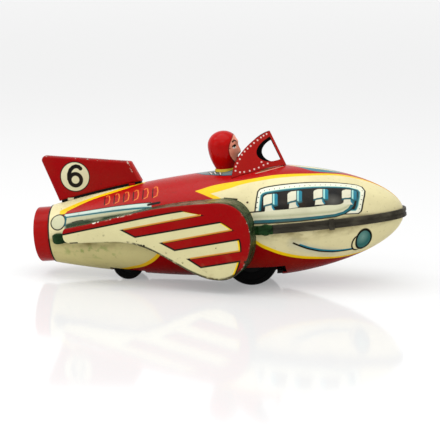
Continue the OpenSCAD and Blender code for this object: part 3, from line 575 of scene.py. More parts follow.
# %% Upper shell: cockpit and wear
deck = p.below([(0, 42), (72.5, 41.5), (77.6, 36.9), (81.6, 34.8), (86.7, 32.7), (91.7, 31.8), (97, 32), (104, 34),
                (112, 38), (118, 42), (172, 44)])
deck = p.most(deck, p.before(72), p.plus(aside, p.calc("MULTIPLY_ADD", p.s, 0.493, 0.8 - 0.493 * 117.75)))
p.fill((0.16, 0.20, 0.20, 1), deck)
p.outline(TEAL, deck, 0.35, -0.5)
p.outline(INK, deck, 0.22)
bars = (((80.6, 39.6), (82.2, 35.6)), ((83.0, 38.8), (84.2, 35.2)), ((86.0, 37.2), (86.8, 33.8)))
bars = p.least(*(p.stroke(ends, 0.35) for ends in bars))
p.fill(INK, p.minus(bars, 0.5))
p.fill(BARE, bars)
p.fill((0.10, 0.085, 0.03, 1), p.stroke([(106.6, 33.2), (109.7, 35.3), (112.7, 38.1)], 0.55), 0.3)
shield_line = [(104.4, 31.4), (107.1, 32.4), (109.9, 33.5), (113.1, 35.4), (116.5, 38.7)]
p.fill((0.48, 0.36, 0.25, 1), p.stroke(shield_line, 0.32))
p.fill(RUST, p.disc((101.2, 13.5), 0.55))
# Black tab slots, and along the tail edge a black band that is painted shade of the gap at the tail ring.
slots_and_gap_shade = p.least(p.stroke([(90.1, 16.6), (96.1, 15.5)], 0.42), p.stroke([(52.6, 17.4), (57.9, 17.9)], 0.75),
                p.past(0.8))
p.fill(INK, slots_and_gap_shade)
low = p.times(p.mask(p.minus(p.v, 3.8), 1.8), p.noise(4, 5, (0.5, 1, 1), low=0.35, high=0.65))
p.wash((0.11, 0.09, 0.035, 1), low, 0.8)
age(p)
upper_print = p.done()

# %% [markdown]
# ## The print on the lower shell
# The belly is red with a pale flank at both ends, each with a yellow edge. A lamp with a long trail sits under the
# nose. It is browned near the waist, partly by dirt and partly as painted shade under the strip and wings, and
# smudged green at the tail.

# %% Lower shell
p = tin_print("lower print", (0.22, 0.001, 0.0012, 1), gloss=0.02)
flank = p.below([(0, 90), (92, 12), (100, 0), (105.7, -6.2), (110.3, -9.1), (116.5, -12.6), (122.7, -15.7),
                 (132.1, -19.9), (141.5, -25.3), (151.1, -31), (160, -36), (172, -41.5)])
p.fill(YELLOW, p.minus(flank, 2.0))
p.fill(CREAM, flank)
tail = p.most(p.below([(0, -70), (20, -48), (31.4, -29.3), (39.7, -22.8), (45.3, -19.7), (50.3, -15.7), (54.1, -11.9),
                       (60, -4), (64, 2), (172, 44)]), p.past(66))
p.fill((0.70, 0.42, 0.01, 1), p.minus(tail, 2.9))
p.fill((0.56, 0.50, 0.23, 1), tail)
trail = [(121.5, -8.0), (127.1, -12.0), (132.6, -15.4), (138.8, -18.6), (147.6, -21.9)]
p.lay((0.45, 0.46, 0.36, 1), p.times(0.6, p.mask(p.stroke(trail[:4], 2.2), 1.8)))
p.fill(TEAL, p.stroke([(124.5, -9.6), (128.5, -12.2), (133.5, -15.0), (139.5, -17.9), (147.4, -21.0)], 0.7))
p.fill(INK, p.stroke(trail, 0.48))
u, v = p.u, p.v
p.on_sheet(p.calc("MULTIPLY_ADD", v, -0.10, p.plus(u, -1.64)), v)
p.outline(INK, p.oval((150.4, -17.8), (2.6, 6.2)), 0.36)
p.fill(CREAM, p.oval((151.4, -17.6), (3.0, 6.6)))
lamp_rim = p.oval((153.3, -16.3), (3.55, 8.9))
p.fill((0.03, 0.13, 0.12, 1), lamp_rim)
p.lay((0.20, 0.36, 0.31, 1), p.times(0.75, p.mask(p.oval((152.8, -13.2), (1.5, 3.4)), 1.6)))
p.outline(INK, lamp_rim, 0.4)
p.on_sheet(u, v)
smudge = p.times(p.mask(p.oval((21, -10.5), (12, 4.5)), 3.0), p.noise(3.2, 4, low=0.5, high=0.66))
p.wash((0.16, 0.27, 0.05, 1), smudge, 0.8)
# Brown near the waist, under the strip and the wings: partly dirt, partly painted shade.
low = p.times(p.mask(p.minus(-6.5, p.v), 2.6), p.noise(4, 5, (0.5, 1, 1), low=0.4, high=0.72))
p.wash((0.20, 0.15, 0.05, 1), low, 0.75)
# A black band along the tail edge: painted shade of the gap at the tail ring.
p.fill(INK, p.past(0.8))
age(p, 0.9)
lower_print = p.done()

# %% [markdown]
# ## Wings, fin, windshield and head
# These prints live in the plane of their own piece, so the sheet's u and v come from dot products with that
# plane's directions. The depth behind the wing's face tells its printed front from its green rim.

# %% Wing print
TOE = math.radians(7.599)
TIP_S, TIP_Y = 103.2, 36.2  # the front end of the wing's face
p = Paint("wing print", DEEP_RED, rough=0.27)
both = p.add("ShaderNodeCombineXYZ", p.s, p.calc("ABSOLUTE", p.y), p.w)
shift = TIP_S - TIP_S * math.cos(TOE) - TIP_Y * math.sin(TOE)
p.on_sheet(p.plus(p.vec("DOT_PRODUCT", both, (math.cos(TOE), math.sin(TOE), 0)), shift), p.w)
sunk = TIP_Y * math.cos(TOE) - TIP_S * math.sin(TOE)
depth = p.plus(p.vec("DOT_PRODUCT", both, (math.sin(TOE), -math.cos(TOE), 0)), sunk)
front = p.curve([(-25, 90.5), (-20.9, 92.8), (-17, 95), (-12.8, 96.8), (-7.6, 97.9), (-5, 98), (-2.7, 97.7),
                 (0, 96.5), (2.4, 94.7), (4, 92.7), (6, 89.7), (8, 85.5), (10, 80.3), (11, 76), (12, 72), (20, 45)],
                over=p.v, span=(-25.0, 20.0), reach=(40.0, 105.0))
cream = p.most(p.above([(0, 1.4), (9.9, 3), (39.6, 7.6), (61, 10.8), (73.5, 12.3), (84, 13.6), (172, 22)]),
               p.minus(p.u, front),
               *(p.times(p.patch(*bar), -1.0) for bar in (
                   ((39.6, 4.3), (46.4, 0.5), (105, 8.0), (105, 13.5)),
                   ((58.7, -2.6), (65.6, -6.5), (105, -1.54), (105, 3.83)),
                   ((71.4, -10.7), (77.8, -15.1), (105, -11.8), (105, -6.77)))))
p.fill((0.66, 0.61, 0.33, 1), cream)
p.fill(YELLOW, p.most(cream, p.minus(p.minus(front, 1.0), p.u)))
p.outline(INK, cream, 0.4, 0.2)
p.specks(INK, 6.5, 0.36, 0.3, p.mask(cream))
for a, b in (((41.2, 4.55), (80, 10.0)), ((60.4, -2.35), (94.5, 2.4)), ((73.2, -10.45), (97.5, -7.6))):
    p.fill((0.60, 0.25, 0.03, 1), p.stroke([a, b], 0.34))
hem = p.above([(0, -1.5), (35, -1.5), (43, -2.7), (50.4, -4.9), (63.2, -11.8), (75, -18.6), (82, -21.1), (87, -21.7),
               (94, -19.7), (99, -15), (172, 20)])
dark = p.times(p.mask(p.most(p.minus(hem, 1.3), p.before(42), p.past(97)), 0.25),
              p.noise(3, 4, low=0.25, high=0.45))
p.wash((0.012, 0.012, 0.006, 1), dark, 0.9)
p.specks(INK, 2.2, 0.8, 0.6, p.mask(p.minus(hem, 2.8), 1.2))
worn = p.times(p.mask(p.plus(p.v, 13.0), 8.0), p.noise(5, 4, low=0.5, high=0.75))
p.wash((0.30, 0.22, 0.09, 1), worn, 0.3)
age(p, 0.6)
rim = p.mask(p.minus(0.55, depth), 0.2)
p.lay((0.030, 0.052, 0.019, 1), rim)
rub = p.times(rim, p.noise(3.0, 5, (0.35, 1, 1), low=0.42, high=0.66))
p.wash((0.006, 0.009, 0.004, 1), rub, 0.9)
crown = p.times(p.mask(p.minus(11.5, p.v), 1.5), p.mask(p.near(p.u, 78, 16), 6.0))
bare = p.times(p.times(crown, rim), p.noise(2.0, 5, (0.4, 1, 1), low=0.42, high=0.58))
p.wash((0.19, 0.17, 0.11, 1), bare, 0.9)
p.specks((0.42, 0.40, 0.33, 1), 2.4, 0.32, 0.22, rim)
edge_line = p.times(p.mask(p.near(depth, 0.4, 0.22), 0.15), p.noise(3.2, 4, low=0.50, high=0.60))
p.lay((0.42, 0.38, 0.27, 1), p.times(edge_line, p.mask(p.most(p.near(p.u, 41, 8), p.minus(3.0, p.v)), 1.5)))
scuff = p.times(p.mask(p.most(p.near(depth, 0.65, 0.35), p.before(97)), 0.2), p.noise(1.4, 4, low=0.57, high=0.64))
p.lay((0.46, 0.43, 0.36, 1), scuff)
chips = p.least(p.oval((26, 8.4), (1.1, 0.6)), p.disc((28.2, 8.7), 0.4), p.disc((38.6, 10.7), 0.4))
p.fill((0.72, 0.68, 0.58, 1), p.most(chips, p.minus(depth, 1.1)))
dirt = p.least(p.stroke([(12.8, -1.1), (16.6, -1.0)], 0.3), p.stroke([(30.4, -1.5), (32.3, -1.4)], 0.25),
               p.disc((46, -3.2), 0.4))
p.fill((0.02, 0.02, 0.01, 1), p.most(dirt, p.minus(depth, 1.1)))
wing_print = p.done()

# %% [markdown]
# The numeral has to read the right way on both sides, so the sheet is flipped where y is positive.

# %% Fin print
p = Paint("fin print", DEEP_RED, rough=0.27)
flip = p.times(p.calc("SIGN", p.y), -1.0)
p.on_sheet(p.calc("MULTIPLY_ADD", p.minus(p.s, 13.5), flip, 13.5), p.w)
roundel = p.disc((13.5, 27.8), 7.3)
p.fill((0.70, 0.66, 0.42, 1), roundel)
p.outline(INK, roundel, 0.26)
p.fill(INK, p.near(p.vec("DISTANCE", p.spot, (13.6, 26.25, 0)), 2.9, 0.97))
hook = [(10.4, 26.8), (10.6, 29.2), (11.6, 31.3), (13, 32.5), (14.5, 32.9), (15.9, 32.5), (16.7, 31.6)]
p.fill(INK, p.stroke(hook, 0.97))
age(p, 0.7)
p.on_sheet(p.s, p.w)
crest = p.side((42, 33.2), (-3.6, 39.4))
brow = p.side((46.6, 22.0), (42, 33.2))
edge_wear = p.mask(p.least(p.minus(crest, 0.45), p.near(brow, 1.4, 0.3)), 0.25)
p.lay((0.60, 0.52, 0.42, 1), p.times(edge_wear, p.noise(1.6, 4, low=0.62, high=0.68)))
rub = p.times(p.mask(p.minus(crest, 0.5), 0.3), p.noise(4, 3, low=0.45, high=0.6))
p.wash((0.09, 0.04, 0.03, 1), rub, 0.4)
# A lighter red band along the front edge: a painted highlight on the rolled edge.
p.fill((0.40, 0.02, 0.016, 1), p.minus(brow, 0.9), 0.3)
fin_print = p.done()

# %% [markdown]
# The windshield leans, so its sheet is spanned by two directions: up the front post and back along the panel.

# %% Windshield print
post_foot, post_top = Vector((117.75, 0, 26.4)), Vector((111.3, 0, 42.9))
rear_corner = Vector((92.8, -12.3, math.sqrt(body_radius(92.8) ** 2 - 12.3**2)))
up = (post_top - post_foot).normalized()
normal = up.cross(rear_corner - post_foot).normalized()
along = normal.cross(up)
p = Paint("shield print", (0.37, 0.010, 0.008, 1), rough=0.27)
one = p.add("ShaderNodeCombineXYZ", p.s, p.times(p.calc("ABSOLUTE", p.y), -1.0), p.w)
from_foot = p.vec("SUBTRACT", one, tuple(post_foot))
p.on_sheet(p.vec("DOT_PRODUCT", from_foot, tuple(along)), p.vec("DOT_PRODUCT", from_foot, tuple(up)))
dots = [(2.4, 17.3), (4.2, 17.3), (5.8, 17.1), (7.9, 16.7), (10.1, 16.3), (12.2, 15.7), (14.1, 15.3), (16, 14.7),
        (17.9, 13.9), (19.7, 12.5), (21.6, 11.3), (23, 10.2), (24, 8.5), (22.4, 6.9), (20.5, 6.1), (17.9, 5.4),
        (15.6, 5.1), (13.3, 4.8), (10.7, 4.8), (8.5, 4.6), (10.9, 6.6)]
age(p, 0.6)
p.fill((0.84, 0.60, 0.54, 1), p.least(*(p.disc(q, 0.40) for q in dots)))
shield_print = p.done()

# %% [markdown]
# The face is unrolled round the head's own axis. Eyes and brows come in pairs, from one loop.

# %% Head paint
p = Paint("head paint", (0.41, 0.0015, 0.001, 1), rough=0.16, gloss=0.09)
p.on_sheet(p.times(p.calc("ARCTAN2", p.y, p.minus(p.s, 88.1)), 7.2), p.w)
skin_edge = p.oval((0, 35.9), (7.7, 6.9))
p.fill((0.86, 0.32, 0.21, 1), skin_edge, 0.2)
cheeks = p.mask(p.least(p.disc((5.2, 34), 1.1), p.disc((-5.2, 34), 1.1)), 1.2)
p.lay((0.66, 0.14, 0.09, 1), p.times(0.5, cheeks))
for k in (-1, 1):
    p.fill((0.05, 0.02, 0.01, 1), p.stroke([(2.3 * k, 39.7), (3.6 * k, 40.2), (5.2 * k, 39.7)], 0.42))
    # A pale stroke under each eye: a painted highlight.
    p.fill((0.80, 0.72, 0.64, 1), p.stroke([(3.0 * k, 36.9), (4.7 * k, 36.9)], 0.6))
    p.fill(INK, p.stroke([(2.5 * k, 37.5), (3.8 * k, 37.9), (5.2 * k, 37.5)], 0.45))
    p.fill(INK, p.disc((3.7 * k, 37.3), 0.62))
p.fill((0.50, 0.03, 0.03, 1), p.stroke([(-1.4, 31.3), (0, 31.1), (1.4, 31.3)], 0.5))
p.outline((0.16, 0.003, 0.002, 1), skin_edge, 0.2)
p.specks(INK, 6, 0.3, 0.4)
p.lay((0.10, 0.004, 0.003, 1), p.times(p.noise(7, 4, low=0.55, high=0.85), 0.35))
p.bump(p.noise(5, 2), 0.06)
head_paint = p.done()

# %% [markdown]
# ## Plain paints
# The rest of the toy is one colour each: enamels rubbed through at the edges, rubber, steel, iron and brass. One
# near-black is paint on the wheel discs and painted shade on the motor plates, the axle bracket and the fin's foot.


# %% Plain paints
def plain(name, colour, rub, amount=0.5, size=4.0, stretch=(1, 1, 1), **kind):
    """One colour with clouds of a second one rubbed into it."""
    p = Paint(name, colour, **kind)
    p.lay(rub, p.times(p.noise(size, 5, stretch, low=0.45, high=0.75), amount))
    p.specks(rub, 1.2 * size, 0.09 * size, 0.4)
    p.bump(p.noise(0.6 * size, 3, stretch), 0.12)
    p.bump(p.noise(0.4, 2), 0.06)
    return p.done()


strip_grey = plain("strip grey", (0.032, 0.028, 0.020, 1), (0.11, 0.10, 0.07, 1), 0.6, 3.5, (0.2, 1, 1), rough=0.38)
rail_green = plain("rail green", (0.010, 0.036, 0.009, 1), (0.002, 0.005, 0.002, 1), 0.9, 2.5, (0.6, 1, 1), rough=0.3)
collar_yellow = plain("collar yellow", (0.60, 0.42, 0.04, 1), (0.24, 0.15, 0.03, 1), 0.4, 3, rough=0.3)
ring_red = plain("ring red", (0.33, 0.003, 0.002, 1), (0.20, 0.002, 0.002, 1), 0.35, 6, rough=0.14, gloss=0.09)
tyre_black = plain("tyre black", (0.002, 0.002, 0.002, 1), (0.006, 0.006, 0.005, 1), 0.4, 3, rough=0.6, gloss=0.05)
# Near-black: paint on the wheel discs, painted shade on the motor plates, axle bracket and fin's foot strip.
black_and_shade = plain("black and painted shade", (0.003, 0.003, 0.003, 1), (0.010, 0.008, 0.007, 1), 0.4, 4, rough=0.4)
tab_cream = plain("tab cream", (0.55, 0.50, 0.33, 1), (0.20, 0.15, 0.08, 1), 0.5, 2, rough=0.4)
# The inside of the tin, near-black as painted shade for the hollows and wheel wells.
inner_tin_and_shade = plain("inner tin and painted shade", (0.012, 0.009, 0.008, 1), (0.04, 0.025, 0.016, 1), 0.4, 6, rough=0.5)
# The windshield's inside and cut edges, near-black as painted shade.
shield_shade = plain("shield painted shade", (0.004, 0.004, 0.004, 1), (0.016, 0.010, 0.010, 1), 0.3, 4, rough=0.4,
                     gloss=0.03)
steel = plain("bare steel", (0.34, 0.34, 0.34, 1), (0.12, 0.07, 0.04, 1), 0.5, 4, rough=0.35, metal=1.0)
iron = plain("cast iron", (0.09, 0.09, 0.09, 1), (0.05, 0.03, 0.02, 1), 0.5, 3, rough=0.55, metal=1.0)
brass = plain("gear brass", (0.50, 0.34, 0.12, 1), (0.16, 0.09, 0.03, 1), 0.5, 3, rough=0.32, metal=1.0)

# %% [markdown]
# ## The two shells
# Each shell is half a turn of the body's outline. The lower one has two openings for the wheels: planes cut the
# mesh along their edges, and the faces between them are deleted. A flat bridge stays across the front end of the
# first, with a tongue between the tyres; its dark inside is painted shade, seen through the opening. The wall comes
# last, once the normals are right.

# %% Shells
FRONT_WELL, FRONT_HALF = (0.24, 35.04), 17.6  # the wheel openings along x, and half their width
REAR_WELL, REAR_HALF = (-52.26, -34.66), 10.4
TONGUE_FROM, TONGUE_HALF = 27.8, 6.85
BRIDGE_FROM, BRIDGE_HALF, BRIDGE_Z = 30.2, 9.5, 6.95
BRIDGE_STEP = (32.3, 32.4)  # where the bridge drops to the belly


def shell(up):
    stations = [WIDEST * i / 44 for i in range(44)] + [BODY_LEN - NOSE_LEN * (1 - i / 56) ** 2 for i in range(57)]
    turns = [math.pi * i / 96 for i in range(97)]
    rings = []
    for s in stations:
        r = body_radius(s)
        rings.append([(s, -r * math.cos(a), up * r * math.sin(a)) for a in turns])
    return loft(rings, closed=False)


def cut_opening(bm, xs, ys):
    """Removes the floor of the shell, already in the row's metres, between two places on x and two on y in mm."""
    xs, ys = [x * MM for x in xs], [y * MM for y in ys]
    for axis, spots in ((0, xs), (1, ys)):
        for spot in spots:
            near = [f for f in bm.faces if xs[0] - 4 * MM < f.calc_center_median().x < xs[1] + 4 * MM]
            geom = list({v for f in near for v in f.verts} | {e for f in near for e in f.edges}) + near
            point, normal = Vector((0, 0, 0)), Vector((0, 0, 0))
            point[axis], normal[axis] = spot, 1
            bmesh.ops.bisect_plane(bm, geom=geom, dist=1e-7, plane_co=point, plane_no=normal)
    gone = []
    for f in bm.faces:
        c = f.calc_center_median()
        if xs[0] < c.x < xs[1] and ys[0] < c.y < ys[1] and c.z < 16 * MM:
            gone.append(f)
    bmesh.ops.delete(bm, geom=gone, context="FACES")


place("upper_tin", shell(1), "upper_shell", "printed_red", upper_print, inner_tin_and_shade, wall=TIN, inside=(HALF_LEN, 0, 0))
bm = shell(-1)
bm.transform(TO_ROW)
cut_opening(bm, (FRONT_WELL[0], TONGUE_FROM), (-FRONT_HALF, FRONT_HALF))
for side in (-1, 1):
    cut_opening(bm, (TONGUE_FROM, BRIDGE_FROM), sorted((side * TONGUE_HALF, side * FRONT_HALF)))
    stops = (BRIDGE_FROM, *BRIDGE_STEP, FRONT_WELL[1])
    for xs in zip(stops, stops[1:]):
        cut_opening(bm, xs, sorted((side * BRIDGE_HALF, side * FRONT_HALF)))
# The bridge's dark inside is painted shade: it stands for the unlit space seen through the front opening.
for v in bm.verts:
    x, y = v.co.x / MM, abs(v.co.y) / MM
    if TONGUE_FROM - 0.1 < x < BRIDGE_STEP[0] + 0.05 and y < BRIDGE_HALF - 0.1:
        v.co.z = max(v.co.z, BRIDGE_Z * MM)
cut_opening(bm, REAR_WELL, (-REAR_HALF, REAR_HALF))
place("lower_tin", bm, "lower_shell", "printed_red", lower_print, inner_tin_and_shade, matrix=Matrix.Identity(4), wall=TIN,
      inside=TO_ROW @ Vector((HALF_LEN, 0, 0)))

# %% [markdown]
# ## Waist strips and rails
# The strips are one section swept along the body's edge: flat with rounded corners and a groove in the middle.
# The green rails use the same section, only plain, and swell to a lug at both ends.

# %% Strips and rails
KNOB_S = 5.6  # the middle of the knob at the rail's tail end


def section(out, groove=0.3, r=0.4, half=STRIP_H / 2):
    """Points (out, w) of a channel's outside, from its lower edge to its upper one."""
    turn = [math.pi / 2 * i / 4 for i in range(5)]
    low = [(0.1, -half)] + [(out - r + r * math.sin(a), -half + r - r * math.cos(a)) for a in turn]
    low += [(out, -0.3 * half), (out - 0.3 * groove, -0.24 * half), (out - groove, -0.19 * half)]
    return low + [(o, -w) for o, w in reversed(low)]


def swept(path, sections):
    """A closed bar along places (s, y) with normals, one section for each place."""
    rings = [[(p.x + o * n.x, p.y + o * n.y, w) for o, w in ring] for (p, n), ring in zip(path, sections)]
    bm = loft(rings)
    cap(bm)
    return bm


def edge(s, side=-1):
    p, n = skin(s)
    return Vector((p.x, side * p.y)), Vector((n.x, side * n.y))


def knob(s):
    """The round of the knob at the rail's tail end."""
    return math.sqrt(max(0, 1 - ((s - KNOB_S) / 3.0) ** 2))


def rail_out(s):
    """How far the rail stands out: a knob at its tail end and a lug at its front end."""
    lug = 0.8 * max(0, min(1, (s - 105.2) / 0.6)) * max(0, min(1, (113.0 - s) / 0.5))
    return max(0.3 + 1.8 * knob(s), STRIP_T + lug if s > KNOB_S else 0)


def rail_half(s):
    """Half the rail's height."""
    if s < KNOB_S:
        return 0.4 + 2.2 * knob(s)
    return STRIP_H / 2 + 0.5 * knob(s) + 0.5 * math.exp(-(((s - 109.3) / 1.3) ** 4))


nose = [BODY_LEN - (BODY_LEN - BUMPER_FROM) * (1 - i / 60) ** 2 for i in range(61)]
path = [edge(s) for s in nose] + [edge(s, 1) for s in reversed(nose[:-1])]
place("bumper", swept(path, [section(STRIP_T)] * len(path)), "nose_bumper", "strip_grey", strip_grey)
for name, turn in SIDES:
    stops = [STRIP_FROM + (BUMPER_FROM - 0.1 - STRIP_FROM) * i / 40 for i in range(41)]
    bm = swept([edge(s) for s in stops], [section(STRIP_T)] * 41)
    place(f"{name}_strip", bm, f"{name}_waist_strip", "strip_grey", strip_grey, matrix=turn)
    stops = [2.65 + 109.95 * i / 300 for i in range(301)]
    bars = [section(rail_out(s), 0.3 if s > 105.4 else 0.0, min(0.4, rail_out(s) - 0.2), rail_half(s)) for s in stops]
    bm = swept([edge(s) for s in stops], bars)
    place(f"{name}_rail", bm, f"{name}_wing_rail", "worn_green", rail_green, matrix=turn)

# %% [markdown]
# ## Wings
# A wing is a shallow pan. Its outline is drawn in the wing's own plane, rolled over at the edge, and its rim runs
# back until it meets the body or the rail, which a small search finds for every point of the outline.

# %% Wings
WING = Matrix.Translation((TIP_S, -TIP_Y, 0)) @ Matrix.Rotation(-TOE, 4, "Z") @ Matrix.Translation((-TIP_S, 0, 0))
wing_line = [Vector(p) for p in ((9.25, 4.4), (9.1, 3.4), (9.1, 1.8), (9.35, 0.5), (10.1, -0.6), (11.4, -1.3),
                                 (13, -1.55), (22, -1.45))]
wing_line += cubic((35, -1.5), (58, -2), (70, -21.7), (87, -21.7), 36)
wing_line += cubic((87, -21.7), (97.5, -21.7), (TIP_S, -10), (TIP_S, -1), 26)
wing_line += cubic((TIP_S, -1), (TIP_S, 8.57), (98, 15.3), (88, 15.3), 26)
wing_line += cubic((88, 15.3), (50, 15.3), (45.5, 10.55), (9.5, 5.85), 50)[:-1]
wing_line += [Vector((10.6, 5.95)), Vector((9.8, 5.3))]


def rim_depth(point):
    """How far the rim runs back from the wing's face before it meets the body."""
    for i in range(280):
        s, y, w = WING @ Vector((point.x, 0.05 * i, point.y))
        reach = body_radius(max(s, 0)) + 0.15
        if abs(w) < STRIP_H / 2 + 0.15:
            reach += rail_out(s)
        if math.hypot(y, w) < reach:
            return 0.05 * i
    return 14.0


def wing_pan():
    rings = []
    for i in range(5):
        a = math.pi / 2 * i / 4
        rings.append([(p.x, 1 - math.cos(a), p.y) for p in inset(wing_line, 1 - math.sin(a))])
    deep = [rim_depth(p) for p in wing_line]
    for i in range(1, 7):
        rings.append([(p.x, 1 + (d - 1) * i / 6, p.y) for p, d in zip(wing_line, deep)])
    bm = loft(rings)
    cap(bm, lambda e: all(v.co.y < 0.01 for v in e.verts))
    bm.transform(WING)
    return bm


for name, turn in SIDES:
    place(f"{name}_wing_tin", wing_pan(), f"{name}_wing", "wing_print", wing_print, inner_tin_and_shade, matrix=turn, wall=TIN,
          inside=(70, -10, 0))

# %% [markdown]
# ## Fin and windshield
# The fin is two pans back to back with a rolled edge, on a dark foot strip with two tabs; the strip's near-black
# is painted shade of the gap under the fin. The windshield is one sheet folded at its post, with a window in each
# half.


# %% Fin
def rounded(corner, before, after, r, steps=6):
    """An arc in place of a corner."""
    u, v = (before - corner).normalized(), (after - corner).normalized()
    half = u.angle(v) / 2
    centre = corner + (u + v).normalized() * r / math.sin(half)
    p, q = corner + u * r / math.tan(half) - centre, corner + v * r / math.tan(half) - centre
    return [centre + r * (p + (q - p) * i / steps).normalized() for i in range(steps + 1)]


foot = [Vector((s, body_radius(s) + 1.0)) for s in (4.2 + 42.4 * i / 24 for i in range(25))]
fin_top, fin_tail = Vector((42, 33.2)), Vector((-3.6, 39.4))
fin_line = foot + rounded(fin_top, foot[-1], fin_tail, 1.2) + rounded(fin_tail, fin_top, foot[0], 2.1)


def fin_pan():
    rings = []
    for i in range(6):
        a = math.pi / 2 * i / 5
        rings.append([(p.x, -2.2 + 1.2 * (1 - math.cos(a)), p.y) for p in inset(fin_line, 1.2 * (1 - math.sin(a)))])
    rings.append([(p.x, -0.05, p.y) for p in fin_line])
    bm = loft(rings)
    cap(bm, lambda e: all(v.co.y < -2.19 for v in e.verts))
    # A near-black strip under the fin's foot: painted shade of the gap between fin and body.
    lip = [[(s, y, body_radius(s) + w) for y, w in ((-1.7, 0.05), (-1.7, 1.4), (-0.1, 1.4), (-0.1, 0.05))]
           for s in (5.4 + 40.6 * i / 24 for i in range(25))]
    foot_strip = loft(lip)
    cap(foot_strip)
    for f in foot_strip.faces:
        f.material_index = 1
    bm = joined(bm, foot_strip)
    for s, index in ((10.2, 2), (41.6, 0)):
        spot = Matrix.Translation((s, -1.9, body_radius(s) + 0.5)) @ Matrix.Diagonal((3.0, 0.7, 1.3, 1))
        tab = bmesh.ops.create_cube(bm, size=1, matrix=spot)["verts"]
        for f in {f for v in tab for f in v.link_faces}:
            f.material_index = index
    return bm


for name, turn in SIDES:
    place(f"{name}_fin", fin_pan(), f"fin_{name}_skin", "fin_print", fin_print, black_and_shade, tab_cream, matrix=turn)

# %% [markdown]
# The panel is rings of points between the window's edge and the outline, found along rays from the window's middle.
# A search by halves brings its foot down to the body.

# %% Windshield
POST, BACK = (post_top - post_foot).length, (rear_corner - post_foot).dot(along)
SILL = (rear_corner - post_foot).dot(up)


def sheet(b, u):
    """A place on the right-hand panel, which bows out a little."""
    bow = 1.5 * math.sin(math.pi * max(0, min(1, b / BACK)) ** 0.6)
    return post_foot + b * along + u * up + bow * normal


def shield_foot(b):
    """The panel's foot, where the sheet meets the body."""
    low, high = -4.0, 9.0
    for _ in range(40):
        u = (low + high) / 2
        s, y, w = sheet(b, u)
        low, high = (u, high) if math.hypot(y, w) < body_radius(s) + 0.3 else (low, u)
    return Vector((b, high))


def crossing(loop, centre, a):
    """Where a ray from the centre meets a closed line round it."""
    ray = Vector((math.cos(a), math.sin(a)))
    for p, q in zip(loop, loop[1:] + loop[:1]):
        p, q = p - centre, q - centre
        c, d = ray.x * p.y - ray.y * p.x, ray.x * q.y - ray.y * q.x
        if c * d <= 0 and c != d and (p + (q - p) * c / (c - d)).dot(ray) > 0:
            return centre + p + (q - p) * c / (c - d)


outer = cubic((0, 18), (8.8, 19.3), (18.9, 15.1), (23.4, 11.3), 40)
outer += [Vector((23.4, 11.3)), Vector((BACK, SILL + 0.3))]
outer += [shield_foot(BACK * (1 - i / 30)) for i in range(31)]
hole = cubic((1.4, 15.5), (6.5, 15.6), (11.4, 13.6), (11.4, 10.4), 20)
hole += cubic((11.4, 10.4), (11.4, 7.4), (7.8, 4.2), (1.4, 3.6), 20) + [Vector((1.4, 3.6))]
far_hole = [p - Vector((0, 1.8)) for p in hole]
middle = Vector((5.5, 8.6))
rays = sorted({round(math.atan2(*(p - middle).yx), 5) for p in outer + hole + far_hole})


def shield_panel(hole):
    """The sheet between its outline and its window, ring by ring."""
    inner, rim = [[crossing(loop, middle, a) for a in rays] for loop in (hole, outer)]
    return loft([[sheet(*(p + (q - p) * k / 8)) for p, q in zip(inner, rim)] for k in range(9)])


left = shield_panel(far_hole)
left.transform(MIRROR_Y)
bm = joined(shield_panel(hole), left)
weld(bm, 0.01)
place("shield_tin", bm, "windshield", "shield_red", shield_print, shield_shade, wall=TIN, rim=1, inside=(95, 0, 33))

# %% [markdown]
# ## The driver
# The head is a stack of rings round its own axis. A small function pushes the rings in and out to make the hood's
# edge, the nose, brow, lips and chin. The collar's lowest ring sits on the body.

# %% Driver
HEAD_S, HEAD_R, NECK_R = 88.1, 7.6, 4.4
HEAD_TOP = body_radius(HEAD_S) + 19
head_wide, neck = HEAD_TOP - 7.0, body_radius(HEAD_S) + 0.7


def bell(x, middle, width):
    return math.exp(-(((x - middle) / width) ** 2))


def face(a, w):
    """How far the head stands out at an angle from the front and a height."""
    inside = max(0, min(1, 4 * (1 - math.hypot(a / 1.12, (w - 36) / 7))))
    nose = 1.35 * bell(a, 0, 0.17) * (bell(w, 34.2, 1.2) if w < 34.2 else bell(w, 34.2, 2.3))
    brow = 0.3 * bell(w, 39.4, 0.8) * bell(a, 0, 0.7)
    eyes = -0.5 * bell(abs(a), 0.36, 0.17) * bell(w, 37.4, 1.0)
    lips = 0.4 * bell(a, 0, 0.26) * (bell(w, 31.7, 0.4) + bell(w, 30.8, 0.45))
    chin = 0.5 * bell(a, 0, 0.4) * bell(w, 29.4, 1.0)
    return inside * (-0.4 + nose + brow + eyes + lips + chin)


outline = cubic((NECK_R, neck), (6.6, neck + 0.33 * (head_wide - neck)),
                (HEAD_R, neck + 0.66 * (head_wide - neck)), (HEAD_R, head_wide), 44)
for i in range(40):
    a = math.pi / 2 * i / 39
    outline.append(Vector((HEAD_R * math.cos(a), head_wide + (HEAD_TOP - head_wide) * math.sin(a))))
rings = []
for r, w in outline:
    ring = []
    for i in range(160):
        a = 2 * math.pi * i / 160
        out = r + (face(math.remainder(a, 2 * math.pi), w) if r > 3 else 0)
        ring.append((HEAD_S + out * math.cos(a), out * math.sin(a), w))
    rings.append(ring)
bm = loft(rings)
cap(bm)
place("driver", bm, "driver_head", "head_paint", head_paint, sharp=60)

